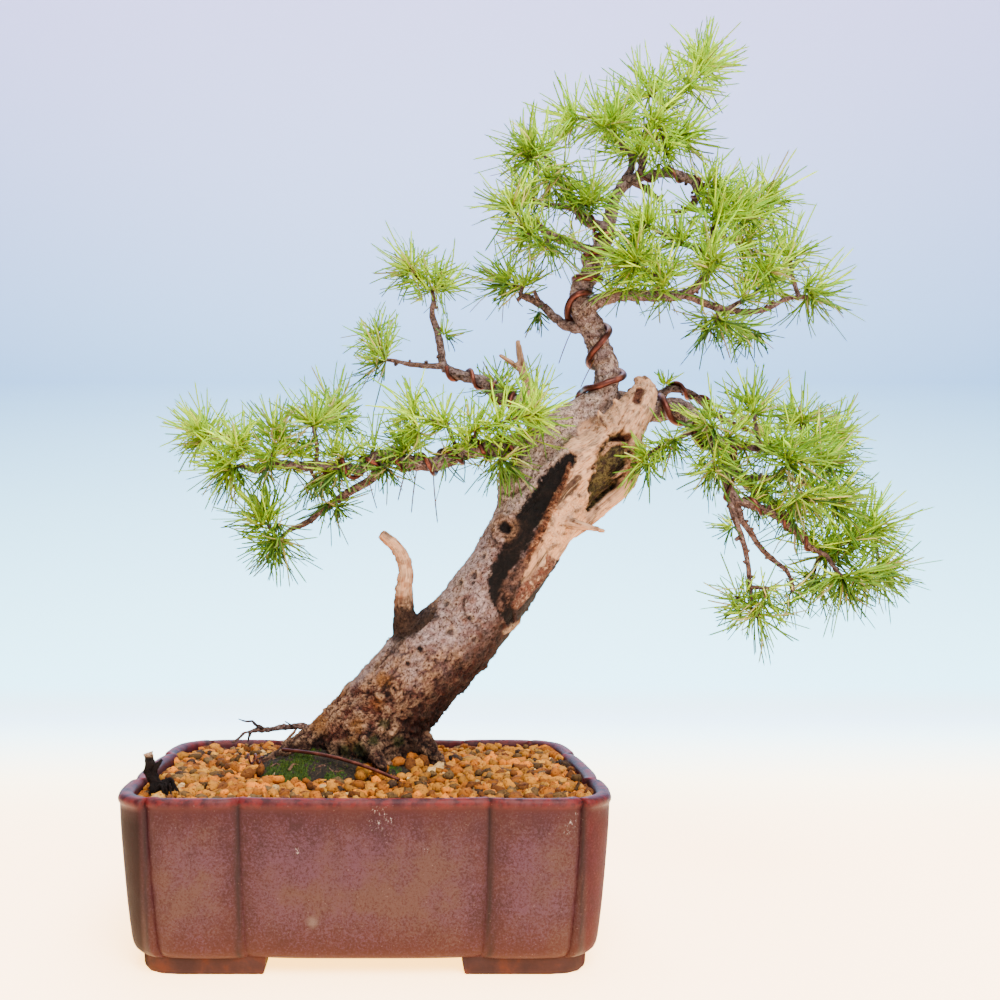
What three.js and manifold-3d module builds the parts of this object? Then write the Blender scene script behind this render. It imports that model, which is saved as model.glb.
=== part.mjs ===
// European larch bonsai: an old leaning trunk with dead wood, in a lobed stoneware pot.
// Millimetres, +Z up. All places are first written from the middle of the pot, on the surface it
// stands on, and the whole bonsai is then moved so that the origin is under the middle of its box.

import * as THREE from 'three';
import { mergeVertices } from 'three/addons/utils/BufferGeometryUtils.js';
import Module from 'manifold-3d';

const wasm = await Module();
wasm.setup();

// Driving dimensions of the pot
const POT_HALF_WIDTH = 122;
const POT_HALF_DEPTH = 88.5;
const POT_HEIGHT = 87;
const FRONT_CREASES = [60, 104];
const SIDE_CREASE = 37.5;
const CREASE_DEPTH = 2;
const LOBE_BULGE = 3;
const CORNER_RADIUS = 25;
const CORNER_ANGLES = [24, 44, 66, 90];
const WALL = 6.5;
const FLOOR_TOP = 16;
const FOOT_HEIGHT = 8;
const FOOT_LEG = 14;
const FOOT_INNER_X = 48;
const FOOT_OUTER_X = 110;
const FOOT_INNER_Y = 30;
const FOOT_OUTER_Y = 78;
const FOOT_ROUND = 20;
const DRAIN_RADIUS = 9;
const DRAIN_X = 52;
const LIP_HEIGHT = 3.5;
const LIP_ROUND = 1.6;
const CUT_LENGTH = 40;

// Driving dimensions of what fills it
const SOIL_EDGE = 81;
const SOIL_RISE = 8;
const GRAIN_SPACING = 10;
const GRAIN_RELIEF = 1.5;
const SOIL_BLOCK_BOTTOM = 6;
const ROOT_CLEARANCE = 3.2;
const MOUND = { x: -16, y: 2, halfX: 56, halfY: 44, bottom: 77, top: 98 };
const TRUNK_FOOT = 72;

// Driving dimensions of the needles
const NEEDLE_HALF_WIDTH = 0.6;
const BUD_RADIUS = 1.35;
const STAR_FROM = 17;
const TWIG_RADIUS = 0.8;
const SPUR_RADIUS = 1.2;

// Driving dimensions of the wires, and the gaps between neighbours
const STEPS_PER_TURN = 7;
const LOOSE_WIRE_RADIUS = 1;
const GAP = 0.35;
const NEEDLE_TO_WOOD = 0.45;
const NEEDLE_TO_WIRE = 0.35;
const NEEDLE_TO_NEEDLE = 0.25;
const SPUR_TO_TWIG = 0.05;
const SMALL = 1e-6;
const BOX_MIDDLE = { x: 94, y: 0 };

const up = new THREE.Vector3(0, 0, 1);
const vec = ([x, y, z]) => new THREE.Vector3(x, y, z);

// One repeatable random sequence for each use
function seeded(seed) {
  let state = seed;
  return () => {
    state = (state + 0x6d2b79f5) | 0;
    let t = Math.imul(state ^ (state >>> 15), 1 | state);
    t = (t + Math.imul(t ^ (t >>> 7), 61 | t)) ^ t;
    return ((t ^ (t >>> 14)) >>> 0) / 4294967296;
  };
}

// Solids are closed meshes while they are joined and cut
function toSolid(geometry) {
  const bare = geometry.index ? geometry.toNonIndexed() : geometry.clone();
  bare.deleteAttribute('normal');
  bare.deleteAttribute('uv');
  const merged = mergeVertices(bare, 1e-4);
  const mesh = new wasm.Mesh({
    numProp: 3,
    vertProperties: new Float32Array(merged.attributes.position.array),
    triVerts: new Uint32Array(merged.index.array),
  });
  return new wasm.Manifold(mesh);
}

function toGeometry(solid) {
  const mesh = solid.getMesh();
  const geometry = new THREE.BufferGeometry();
  const positions = new Float32Array(mesh.vertProperties);
  geometry.setAttribute('position', new THREE.BufferAttribute(positions, 3));
  geometry.setIndex(new THREE.BufferAttribute(new Uint32Array(mesh.triVerts), 1));
  return geometry;
}

const joined = (solids) => solids.reduce((whole, solid) => whole.add(solid));

// A closed skin over rings with the same number of points, with a middle point at each end
function loft(rings, first, last) {
  const positions = [first, ...rings.flat(), last].flatMap((p) => [p.x, p.y, p.z]);
  const count = rings[0].length;
  const at = (ring, i) => 1 + ring * count + (i % count);
  const end = 1 + rings.length * count;
  const index = [];
  for (let i = 0; i < count; i += 1) {
    index.push(0, at(0, i + 1), at(0, i));
    for (let ring = 0; ring + 1 < rings.length; ring += 1) {
      index.push(at(ring, i), at(ring, i + 1), at(ring + 1, i + 1));
      index.push(at(ring, i), at(ring + 1, i + 1), at(ring + 1, i));
    }
    index.push(end, at(rings.length - 1, i), at(rings.length - 1, i + 1));
  }
  const geometry = new THREE.BufferGeometry();
  geometry.setAttribute('position', new THREE.Float32BufferAttribute(positions, 3));
  geometry.setIndex(index);
  return geometry;
}

// The pot's outline: panels that bulge a little between the creases, and four corner lobes.
// Each panel is given from crease to crease, anticlockwise from the front left corner.
function potOutline() {
  const [near, far] = FRONT_CREASES;
  const w = POT_HALF_WIDTH;
  const d = POT_HALF_DEPTH;
  const dip = CREASE_DEPTH;
  const points = [];
  const panel = (x0, y0, x1, y1, steps) => {
    const length = Math.hypot(x1 - x0, y1 - y0);
    for (let i = 0; i < steps; i += 1) {
      const t = i / steps;
      const bulge = LOBE_BULGE * (1 - (2 * t - 1) ** 4);
      const nx = (y1 - y0) / length;
      const ny = (x0 - x1) / length;
      points.push([x0 + (x1 - x0) * t + nx * bulge, y0 + (y1 - y0) * t + ny * bulge]);
    }
  };
  const corner = (sx, sy) => {
    const lobe = [[far, d - dip]];
    const cx = w - CORNER_RADIUS - 0.5;
    const cy = d - CORNER_RADIUS + 1.5;
    for (const degrees of CORNER_ANGLES) {
      const a = THREE.MathUtils.degToRad(degrees);
      lobe.push([cx + CORNER_RADIUS * Math.sin(a), cy + CORNER_RADIUS * Math.cos(a)]);
    }
    lobe.push([w + 0.6, (cy + SIDE_CREASE) / 2]);
    lobe.push([w, SIDE_CREASE + 3]);
    lobe.push([w - dip, SIDE_CREASE]);
    const placed = lobe.map(([x, y]) => [x * sx, y * sy]);
    return sx * sy < 0 ? placed : placed.reverse();
  };
  const rightFront = corner(1, -1);
  const rightBack = corner(1, 1);
  const leftBack = corner(-1, 1);
  const leftFront = corner(-1, -1);
  points.push(...leftFront.slice(0, -1));
  panel(-far, -d + dip, -near, -d + dip, 3);
  panel(-near, -d + dip, near, -d + dip, 5);
  panel(near, -d + dip, far, -d + dip, 3);
  points.push(...rightFront.slice(0, -1));
  panel(w - dip, -SIDE_CREASE, w - dip, SIDE_CREASE, 4);
  points.push(...rightBack.slice(0, -1));
  panel(far, d - dip, near, d - dip, 3);
  panel(near, d - dip, -near, d - dip, 5);
  panel(-near, d - dip, -far, d - dip, 3);
  points.push(...leftBack.slice(0, -1));
  panel(-w + dip, SIDE_CREASE, -w + dip, -SIDE_CREASE, 4);
  return points;
}

const outline = potOutline();

function potRing(inset, z) {
  const sx = 1 - inset / POT_HALF_WIDTH;
  const sy = 1 - inset / POT_HALF_DEPTH;
  return outline.map(([x, y]) => new THREE.Vector3(x * sx, y * sy, z));
}

function makePot() {
  const outside = [
    potRing(14, FOOT_HEIGHT),
    potRing(7.5, FOOT_HEIGHT + 1.5),
    potRing(5.5, FOOT_HEIGHT + 7),
    potRing(2.6, POT_HEIGHT - 40),
    potRing(0.6, POT_HEIGHT - LIP_HEIGHT - 1),
    potRing(-0.2, POT_HEIGHT - LIP_HEIGHT),
    potRing(-0.2, POT_HEIGHT - LIP_ROUND),
    potRing(LIP_ROUND, POT_HEIGHT),
  ];
  const inside = [
    potRing(WALL - LIP_ROUND, POT_HEIGHT),
    potRing(WALL, POT_HEIGHT - LIP_ROUND),
    potRing(WALL + 10, FLOOR_TOP),
  ];
  const middle = (z) => new THREE.Vector3(0, 0, z);
  const shell = loft([...outside, ...inside], middle(FOOT_HEIGHT), middle(FLOOR_TOP));
  let pot = toSolid(shell);
  for (const sx of [-1, 1]) {
    for (const sy of [-1, 1]) {
      pot = pot.add(makeFoot(sx, sy));
    }
    const drain = new THREE.CylinderGeometry(DRAIN_RADIUS, DRAIN_RADIUS, CUT_LENGTH, 16);
    drain.rotateX(Math.PI / 2);
    drain.translate(sx * DRAIN_X, 0, FLOOR_TOP);
    pot = pot.subtract(toSolid(drain));
  }
  return toGeometry(pot);
}

// An L-shaped foot under one corner, rounded outside and narrower at the ground
function makeFoot(sx, sy) {
  const leg = FOOT_LEG;
  const round = FOOT_ROUND;
  const foot = new THREE.Shape();
  foot.moveTo(FOOT_INNER_X, FOOT_OUTER_Y - leg);
  foot.lineTo(FOOT_OUTER_X - leg, FOOT_OUTER_Y - leg);
  foot.lineTo(FOOT_OUTER_X - leg, FOOT_INNER_Y);
  foot.lineTo(FOOT_OUTER_X, FOOT_INNER_Y);
  foot.lineTo(FOOT_OUTER_X, FOOT_OUTER_Y - round);
  foot.quadraticCurveTo(FOOT_OUTER_X, FOOT_OUTER_Y, FOOT_OUTER_X - round, FOOT_OUTER_Y);
  foot.lineTo(FOOT_INNER_X, FOOT_OUTER_Y);
  const depth = FOOT_HEIGHT + 4;
  const geometry = new THREE.ExtrudeGeometry(foot, { depth, bevelEnabled: false, curveSegments: 4 });
  let solid = toSolid(geometry);
  if (sx < 0) {
    solid = solid.mirror([1, 0, 0]);
  }
  if (sy < 0) {
    solid = solid.mirror([0, 1, 0]);
  }
  return solid;
}

// Soil surface: level at the walls, higher round the trunk
function soilHeight(x, y) {
  const near = ((x + 4) / 62) ** 2 + ((y - 4) / 46) ** 2;
  return SOIL_EDGE + SOIL_RISE * Math.exp(-near);
}

function moundHeight(x, y) {
  const ring = ((x - MOUND.x) / MOUND.halfX) ** 2 + ((y - MOUND.y) / MOUND.halfY) ** 2;
  return MOUND.bottom + (MOUND.top - MOUND.bottom) * Math.sqrt(Math.max(0, 1 - ring));
}

function makeMound(extra) {
  const rings = [];
  const sides = 18;
  for (const share of [0.4, 0.7, 0.9, 1]) {
    const ring = [];
    for (let i = 0; i < sides; i += 1) {
      const a = (i / sides) * 2 * Math.PI;
      const lumps = 1 + 0.05 * Math.sin(3 * a + 1) + 0.04 * Math.sin(7 * a);
      const x = share * MOUND.halfX * lumps * Math.cos(a);
      const y = share * MOUND.halfY * lumps * Math.sin(a);
      const bumps = share < 0.9 ? 0.7 * Math.sin(x * 0.31) * Math.cos(y * 0.37) : 0;
      const z = MOUND.bottom + (MOUND.top - MOUND.bottom) * Math.sqrt(1 - share * share) + bumps;
      const grow = 1 + extra / MOUND.halfY;
      ring.push(new THREE.Vector3(MOUND.x + x * grow, MOUND.y + y * grow, z + extra));
    }
    rings.push(ring);
  }
  const top = new THREE.Vector3(MOUND.x, MOUND.y, MOUND.top + extra);
  const bottom = new THREE.Vector3(MOUND.x, MOUND.y, MOUND.bottom - extra);
  const edge = rings.pop();
  const foot = edge.map((p) => p.clone().setZ(MOUND.bottom - extra));
  const shoulder = edge.map((p) => p.clone().setZ(MOUND.bottom + 1.5 + extra));
  return toSolid(loft([foot, shoulder, ...rings.reverse()], bottom, top));
}

function makeSoil() {
  const random = seeded(11);
  const columns = Math.ceil((2 * POT_HALF_WIDTH) / GRAIN_SPACING) + 1;
  const rows = Math.ceil((2 * POT_HALF_DEPTH) / GRAIN_SPACING) + 1;
  const step = GRAIN_SPACING;
  const ground = [];
  for (let j = 0; j <= rows; j += 1) {
    for (let i = 0; i <= columns; i += 1) {
      const x = (i - columns / 2 + (random() - 0.5) * 0.5) * step;
      const y = (j - rows / 2 + (random() - 0.5) * 0.5) * step;
      const z = soilHeight(x, y) + (random() * 2 - 1) * GRAIN_RELIEF;
      ground.push(new THREE.Vector3(x, y, z));
    }
  }
  const wide = columns + 1;
  const index = [];
  const top = (i, j) => j * wide + i;
  for (let j = 0; j < rows; j += 1) {
    for (let i = 0; i < columns; i += 1) {
      index.push(top(i, j), top(i + 1, j), top(i + 1, j + 1));
      index.push(top(i, j), top(i + 1, j + 1), top(i, j + 1));
    }
  }
  const rim = [];
  for (let i = 0; i < columns; i += 1) {
    rim.push(top(i, 0));
  }
  for (let j = 0; j < rows; j += 1) {
    rim.push(top(columns, j));
  }
  for (let i = columns; i > 0; i -= 1) {
    rim.push(top(i, rows));
  }
  for (let j = rows; j > 0; j -= 1) {
    rim.push(top(0, j));
  }
  const base = ground.length;
  const points = [...ground, ...rim.map((k) => ground[k].clone().setZ(SOIL_BLOCK_BOTTOM))];
  points.push(new THREE.Vector3(0, 0, SOIL_BLOCK_BOTTOM));
  rim.forEach((k, n) => {
    const next = (n + 1) % rim.length;
    index.push(k, base + n, base + next);
    index.push(k, base + next, rim[next]);
    index.push(base + rim.length, base + next, base + n);
  });
  const block = new THREE.BufferGeometry();
  const positions = points.flatMap((p) => p.toArray());
  block.setAttribute('position', new THREE.Float32BufferAttribute(positions, 3));
  block.setIndex(index);
  const over = POT_HEIGHT + SOIL_RISE;
  const inside = loft(
    [
      potRing(WALL + 10 + GAP, FLOOR_TOP + GAP),
      potRing(WALL + GAP, POT_HEIGHT - LIP_ROUND),
      potRing(WALL + GAP, over),
    ],
    new THREE.Vector3(0, 0, FLOOR_TOP + GAP),
    new THREE.Vector3(0, 0, over),
  );
  return toSolid(block).intersect(toSolid(inside));
}

// A route is a smooth curve through points [x, y, z, radius], with a frame that doesn't twist
function makeRoute(points) {
  const curve = new THREE.CatmullRomCurve3(points.map(vec), false, 'centripetal');
  const count = 12 * (points.length - 1);
  const samples = [];
  let side = new THREE.Vector3(0, 1, 0.001);
  let along = 0;
  for (let i = 0; i <= count; i += 1) {
    const t = i / count;
    const place = curve.getPoint(t);
    const tangent = curve.getTangent(t).normalize();
    side = side.clone().addScaledVector(tangent, -side.dot(tangent)).normalize();
    const other = new THREE.Vector3().crossVectors(tangent, side);
    const span = t * (points.length - 1);
    const k = Math.min(Math.floor(span), points.length - 2);
    const radius = THREE.MathUtils.lerp(points[k][3], points[k + 1][3], span - k);
    if (i > 0) {
      along += place.distanceTo(samples[i - 1].place);
    }
    samples.push({ place, tangent, side, other, radius, along });
  }
  return samples;
}

const onRing = (sample, angle, radius) =>
  sample.place
    .clone()
    .addScaledVector(sample.side, Math.cos(angle) * radius)
    .addScaledVector(sample.other, Math.sin(angle) * radius);

// The samples of a route that a limb has a ring of points at
function makeSpine(points, spacing) {
  const samples = makeRoute(points);
  const length = samples.at(-1).along;
  const steps = Math.max(1, Math.round(length / spacing));
  const spine = [];
  let k = 0;
  for (let i = 0; i <= steps; i += 1) {
    while (k < samples.length - 1 && samples[k].along < (i / steps) * length - SMALL) {
      k += 1;
    }
    spine.push(samples[k]);
  }
  return spine;
}

// A limb is a tapering closed tube along a spine. relief(angle, along) shapes its bark.
function skinLimb(spine, { sides = 6, relief = () => 0, extra = 0, flatStart = false } = {}) {
  const rings = spine.map((sample) => {
    const ring = [];
    for (let s = 0; s < sides; s += 1) {
      const angle = (s / sides) * 2 * Math.PI;
      ring.push(onRing(sample, angle, sample.radius * (1 + relief(angle, sample.along)) + extra));
    }
    return ring;
  });
  const head = spine[0];
  const tail = spine.at(-1);
  const back = flatStart ? 0 : -0.4 * head.radius - extra;
  const first = head.place.clone().addScaledVector(head.tangent, back);
  const last = tail.place.clone().addScaledVector(tail.tangent, 0.5 * tail.radius + extra);
  return toSolid(loft(rings, first, last));
}

const makeLimb = (points, spacing, options) => skinLimb(makeSpine(points, spacing), options);

// The wood, as routes [x, y, z, radius]. Left, right and depth are as seen from the front.
const trunk = [
  [-2, 5, TRUNK_FOOT, 26], [-2, 5, 88, 28], [0, 5, 100, 28.5], [10, 5, 116, 25.5], [24, 4, 133, 25],
  [37, 4, 147, 25], [55, 3, 165, 22.5], [77, 2, 195, 21.5], [92, 1, 220, 22.5], [104, 0, 238, 21],
];
const deadwood = [
  [93, 0, 224, 19], [111, -2, 247, 20], [132, -4, 262, 16], [142, -5, 276, 12.5], [150, -5, 288, 9.5],
  [154, -4, 297, 6], [151, -4, 302, 3],
];
const roots = {
  left: [[5, 4, 122, 15], [-18, 2, 106, 12], [-34, -2, 98, 8], [-48, -6, 92, 4.5], [-62, -10, 86, 2.5]],
  front: [[6, -4, 114, 13], [2, -20, 103, 8], [5, -30, 96, 4], [9, -37, 91, 2.5]],
  right: [[14, 4, 112, 13], [26, 0, 101, 9], [36, -4, 92, 4.5], [43, -6, 85, 2.5]],
  back: [[0, 10, 112, 13], [-4, 28, 100, 8], [-8, 42, 91, 4], [-10, 50, 84, 2.5]],
};
const rootTwig = [
  [-20, 6, 104, 3], [-40, 9, 107, 1.8], [-53, 10, 106, 1.6], [-66, 12, 103, 1.4], [-78, 14, 98, 1],
];
const deadStubs = {
  stub: [
    [21, 0, 160, 7], [20, -2, 173, 6], [20, -3, 185, 5], [21, -3, 195, 4.4], [17, -3, 207, 3.9],
    [7, -3, 216, 3],
  ],
  fork: [[95, 8, 272, 6], [95, 12, 286, 4], [91, 12, 299, 3.2], [88, 12, 310, 2.6], [85, 12, 327, 1.6]],
  forkLeft: [[88, 12, 309, 2], [81, 11, 314, 1.6], [74, 10, 318, 1.1]],
  knot: [[104, -8, 223, 5], [113, -20, 220, 2.8], [120, -25, 218, 1.8]],
  deadTwig: [[99, 19, 348, 1.6], [95, 16, 356, 1]],
};
const living = [
  [74, 2, 218, 14], [89, 2, 241, 16], [96, 2, 256, 15], [102, 2, 269, 12.5], [111, 3, 277, 11],
  [122, 4, 285, 9], [130, 4, 291, 8], [134, 3, 300, 7.2],
];
const leader = [
  [134, 3, 300, 7.2], [134, 3, 309, 6.8], [130, 3, 319, 6.5], [125, 3, 333, 6.5], [119, 3, 344, 6.2],
  [119, 3, 352, 5.8], [124, 2, 361, 5.2], [128, 2, 371, 4.8], [133, 1, 382, 4.2], [135, 0, 391, 4],
  [137, 0, 401, 3.4], [141, 0, 409, 3], [146, 0, 417, 2.6],
];
const branches = {
  leftMain: [
    [96, 0, 268, 9], [76, -5, 264, 5.2], [53, -9, 261, 4.6], [39, -12, 254, 4.2], [24, -14, 254, 3.8],
    [7, -12, 258, 3.5], [-5, -8, 251, 3.2], [-14, -5, 253, 3], [-37, 0, 254, 2.6], [-53, 4, 255, 2.3],
    [-62, 6, 252, 2], [-72, 8, 255, 1.6],
  ],
  leftDown: [
    [11, -13, 256, 3], [3, -4, 247, 2.6], [-14, 8, 238, 2.3], [-28, 16, 229, 2], [-36, 20, 223, 1.8],
    [-46, 22, 219, 1.5],
  ],
  upperLeft: [
    [98, 4, 278, 8], [87, 10, 288, 4.6], [80, 16, 294, 4], [72, 20, 299, 3.6], [68, 22, 304, 3.4],
    [61, 24, 307, 3.1], [52, 26, 310, 2.9], [44, 28, 315, 2.6], [42, 28, 325, 2.4], [40, 30, 336, 2.1],
    [37, 30, 346, 1.8], [38, 32, 354, 1.5],
  ],
  upperLeftTwig: [[45, 28, 315, 2], [34, 26, 315, 1.7], [24, 22, 315, 1.5], [16, 18, 316, 1.2]],
  crownA: [
    [134, 1, 387, 3.4], [123, -4, 388, 2.8], [117, -8, 392, 2.5], [113, -12, 396, 2.3],
    [109, -15, 402, 2.1], [104, -17, 406, 1.9], [102, -18, 411, 1.6], [99, -19, 414, 1.4],
  ],
  crownB: [[114, -10, 394, 1.8], [106, 0, 399, 1.6], [99, 9, 403, 1.2]],
  crownC: [
    [129, 2, 374, 3], [114, -10, 374, 2.4], [101, -18, 376, 2.1], [95, -22, 378, 1.9],
    [89, -26, 381, 1.6], [83, -29, 384, 1.2],
  ],
  crownD: [
    [122, 3, 332, 4], [113, 8, 334, 2.9], [107, 12, 339, 2.6], [100, 18, 348, 2.3], [93, 22, 353, 2],
    [88, 25, 356, 1.6],
  ],
  topLeft: [
    [145, 0, 415, 2.4], [148, 2, 424, 2.1], [147, 4, 431, 1.9], [142, 6, 438, 1.6], [139, 6, 442, 1.3],
  ],
  topRight: [
    [142, 0, 410, 2.8], [151, -3, 416, 2.3], [153, -4, 426, 2.1], [153, -5, 433, 1.9], [155, -6, 441, 1.8],
    [161, -7, 447, 1.6], [167, -8, 452, 1.4], [171, -9, 456, 1.2],
  ],
  topSide: [[153, -5, 432, 1.6], [162, -7, 435, 1.3], [167, -7, 434, 1]],
  loop: [
    [140, 0, 407, 3], [146, -3, 412, 2.7], [153, -7, 413, 2.6], [162, -11, 413, 2.5],
    [171, -13, 411, 2.4], [178, -12, 408, 2.3], [182, -8, 403, 2.1], [181, -3, 400, 1.8],
    [177, 3, 397, 1.5], [171, 8, 397, 1.1],
  ],
  behind: [[147, 2, 414, 2], [158, 10, 412, 1.6], [168, 18, 408, 1.2]],
  crownRight: [
    [122, 2, 337, 5], [125, -4, 343, 3.8], [136, -11, 346, 3.4], [147, -15, 345, 3.1],
    [159, -17, 344, 2.9], [172, -18, 345, 2.6], [181, -18, 352, 2.3], [185, -18, 361, 2],
    [187, -16, 372, 1.7], [189, -14, 384, 1.3],
  ],
  crownRightLow: [
    [173, -17, 345, 2.3], [186, -12, 341, 2.1], [200, -6, 339, 1.9], [215, 0, 340, 1.7], [225, 4, 343, 1.5],
    [236, 8, 349, 1.3], [245, 11, 351, 1],
  ],
  crownRightBack: [[130, 3, 375, 2.8], [141, 12, 377, 2.2], [152, 20, 377, 1.8], [162, 27, 376, 1.3]],
  crownRightMid: [[199, -6, 340, 1.6], [212, 4, 348, 1.4], [224, 14, 356, 1.1]],
  bough: [
    [118, 6, 281, 9], [134, 14, 291, 7.5], [151, 21, 291, 6.8], [165, 18, 287, 6.4], [173, 12, 288, 6],
    [180, 5, 284, 5.4], [183, -1, 275, 4.8], [193, -8, 266, 4], [199, -6, 258, 3.6], [209, 1, 247, 3.2],
    [219, 5, 240, 2.8], [229, 8, 233, 2.5], [246, 12, 217, 2], [259, 11, 206, 1.5],
  ],
  boughUpper: [
    [191, -7, 267, 3], [203, -10, 264, 2.6], [217, -8, 263, 2.2], [233, -2, 267, 1.9], [247, 4, 267, 1.5],
    [257, 8, 266, 1.1],
  ],
  boughFront: [
    [198, -7, 256, 3], [196, -14, 244, 2.6], [200, -17, 234, 2.4], [210, -19, 230, 2.2], [218, -18, 227, 2],
    [234, -14, 216, 1.7], [243, -11, 208, 1.4], [252, -9, 204, 1.1],
  ],
  hanging: [
    [197, -16, 241, 2], [197, -19, 228, 1.8], [200, -20, 219, 1.7], [203, -20, 210, 1.6],
    [205, -20, 201, 1.5], [207, -18, 188, 1.3], [209, -17, 177, 1.1],
  ],
  hangingTwo: [
    [200, -17, 234, 2], [204, -14, 223, 1.8], [209, -12, 217, 1.7], [214, -10, 210, 1.6],
    [222, -9, 202, 1.5], [230, -8, 196, 1.3], [233, -8, 191, 1],
  ],
  thinUpper: [
    [150, 20, 292, 3.4], [160, 26, 297, 2.8], [168, 26, 298, 2.5], [177, 24, 301, 2.3], [186, 24, 299, 2.1],
    [194, 26, 294, 2], [202, 29, 288, 1.8], [216, 34, 282, 1.4], [231, 38, 277, 1],
  ],
  backTwig: [[209, 1, 247, 2.2], [231, 20, 249, 1.8], [252, 34, 249, 1.4], [267, 42, 245, 1]],
};

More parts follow.
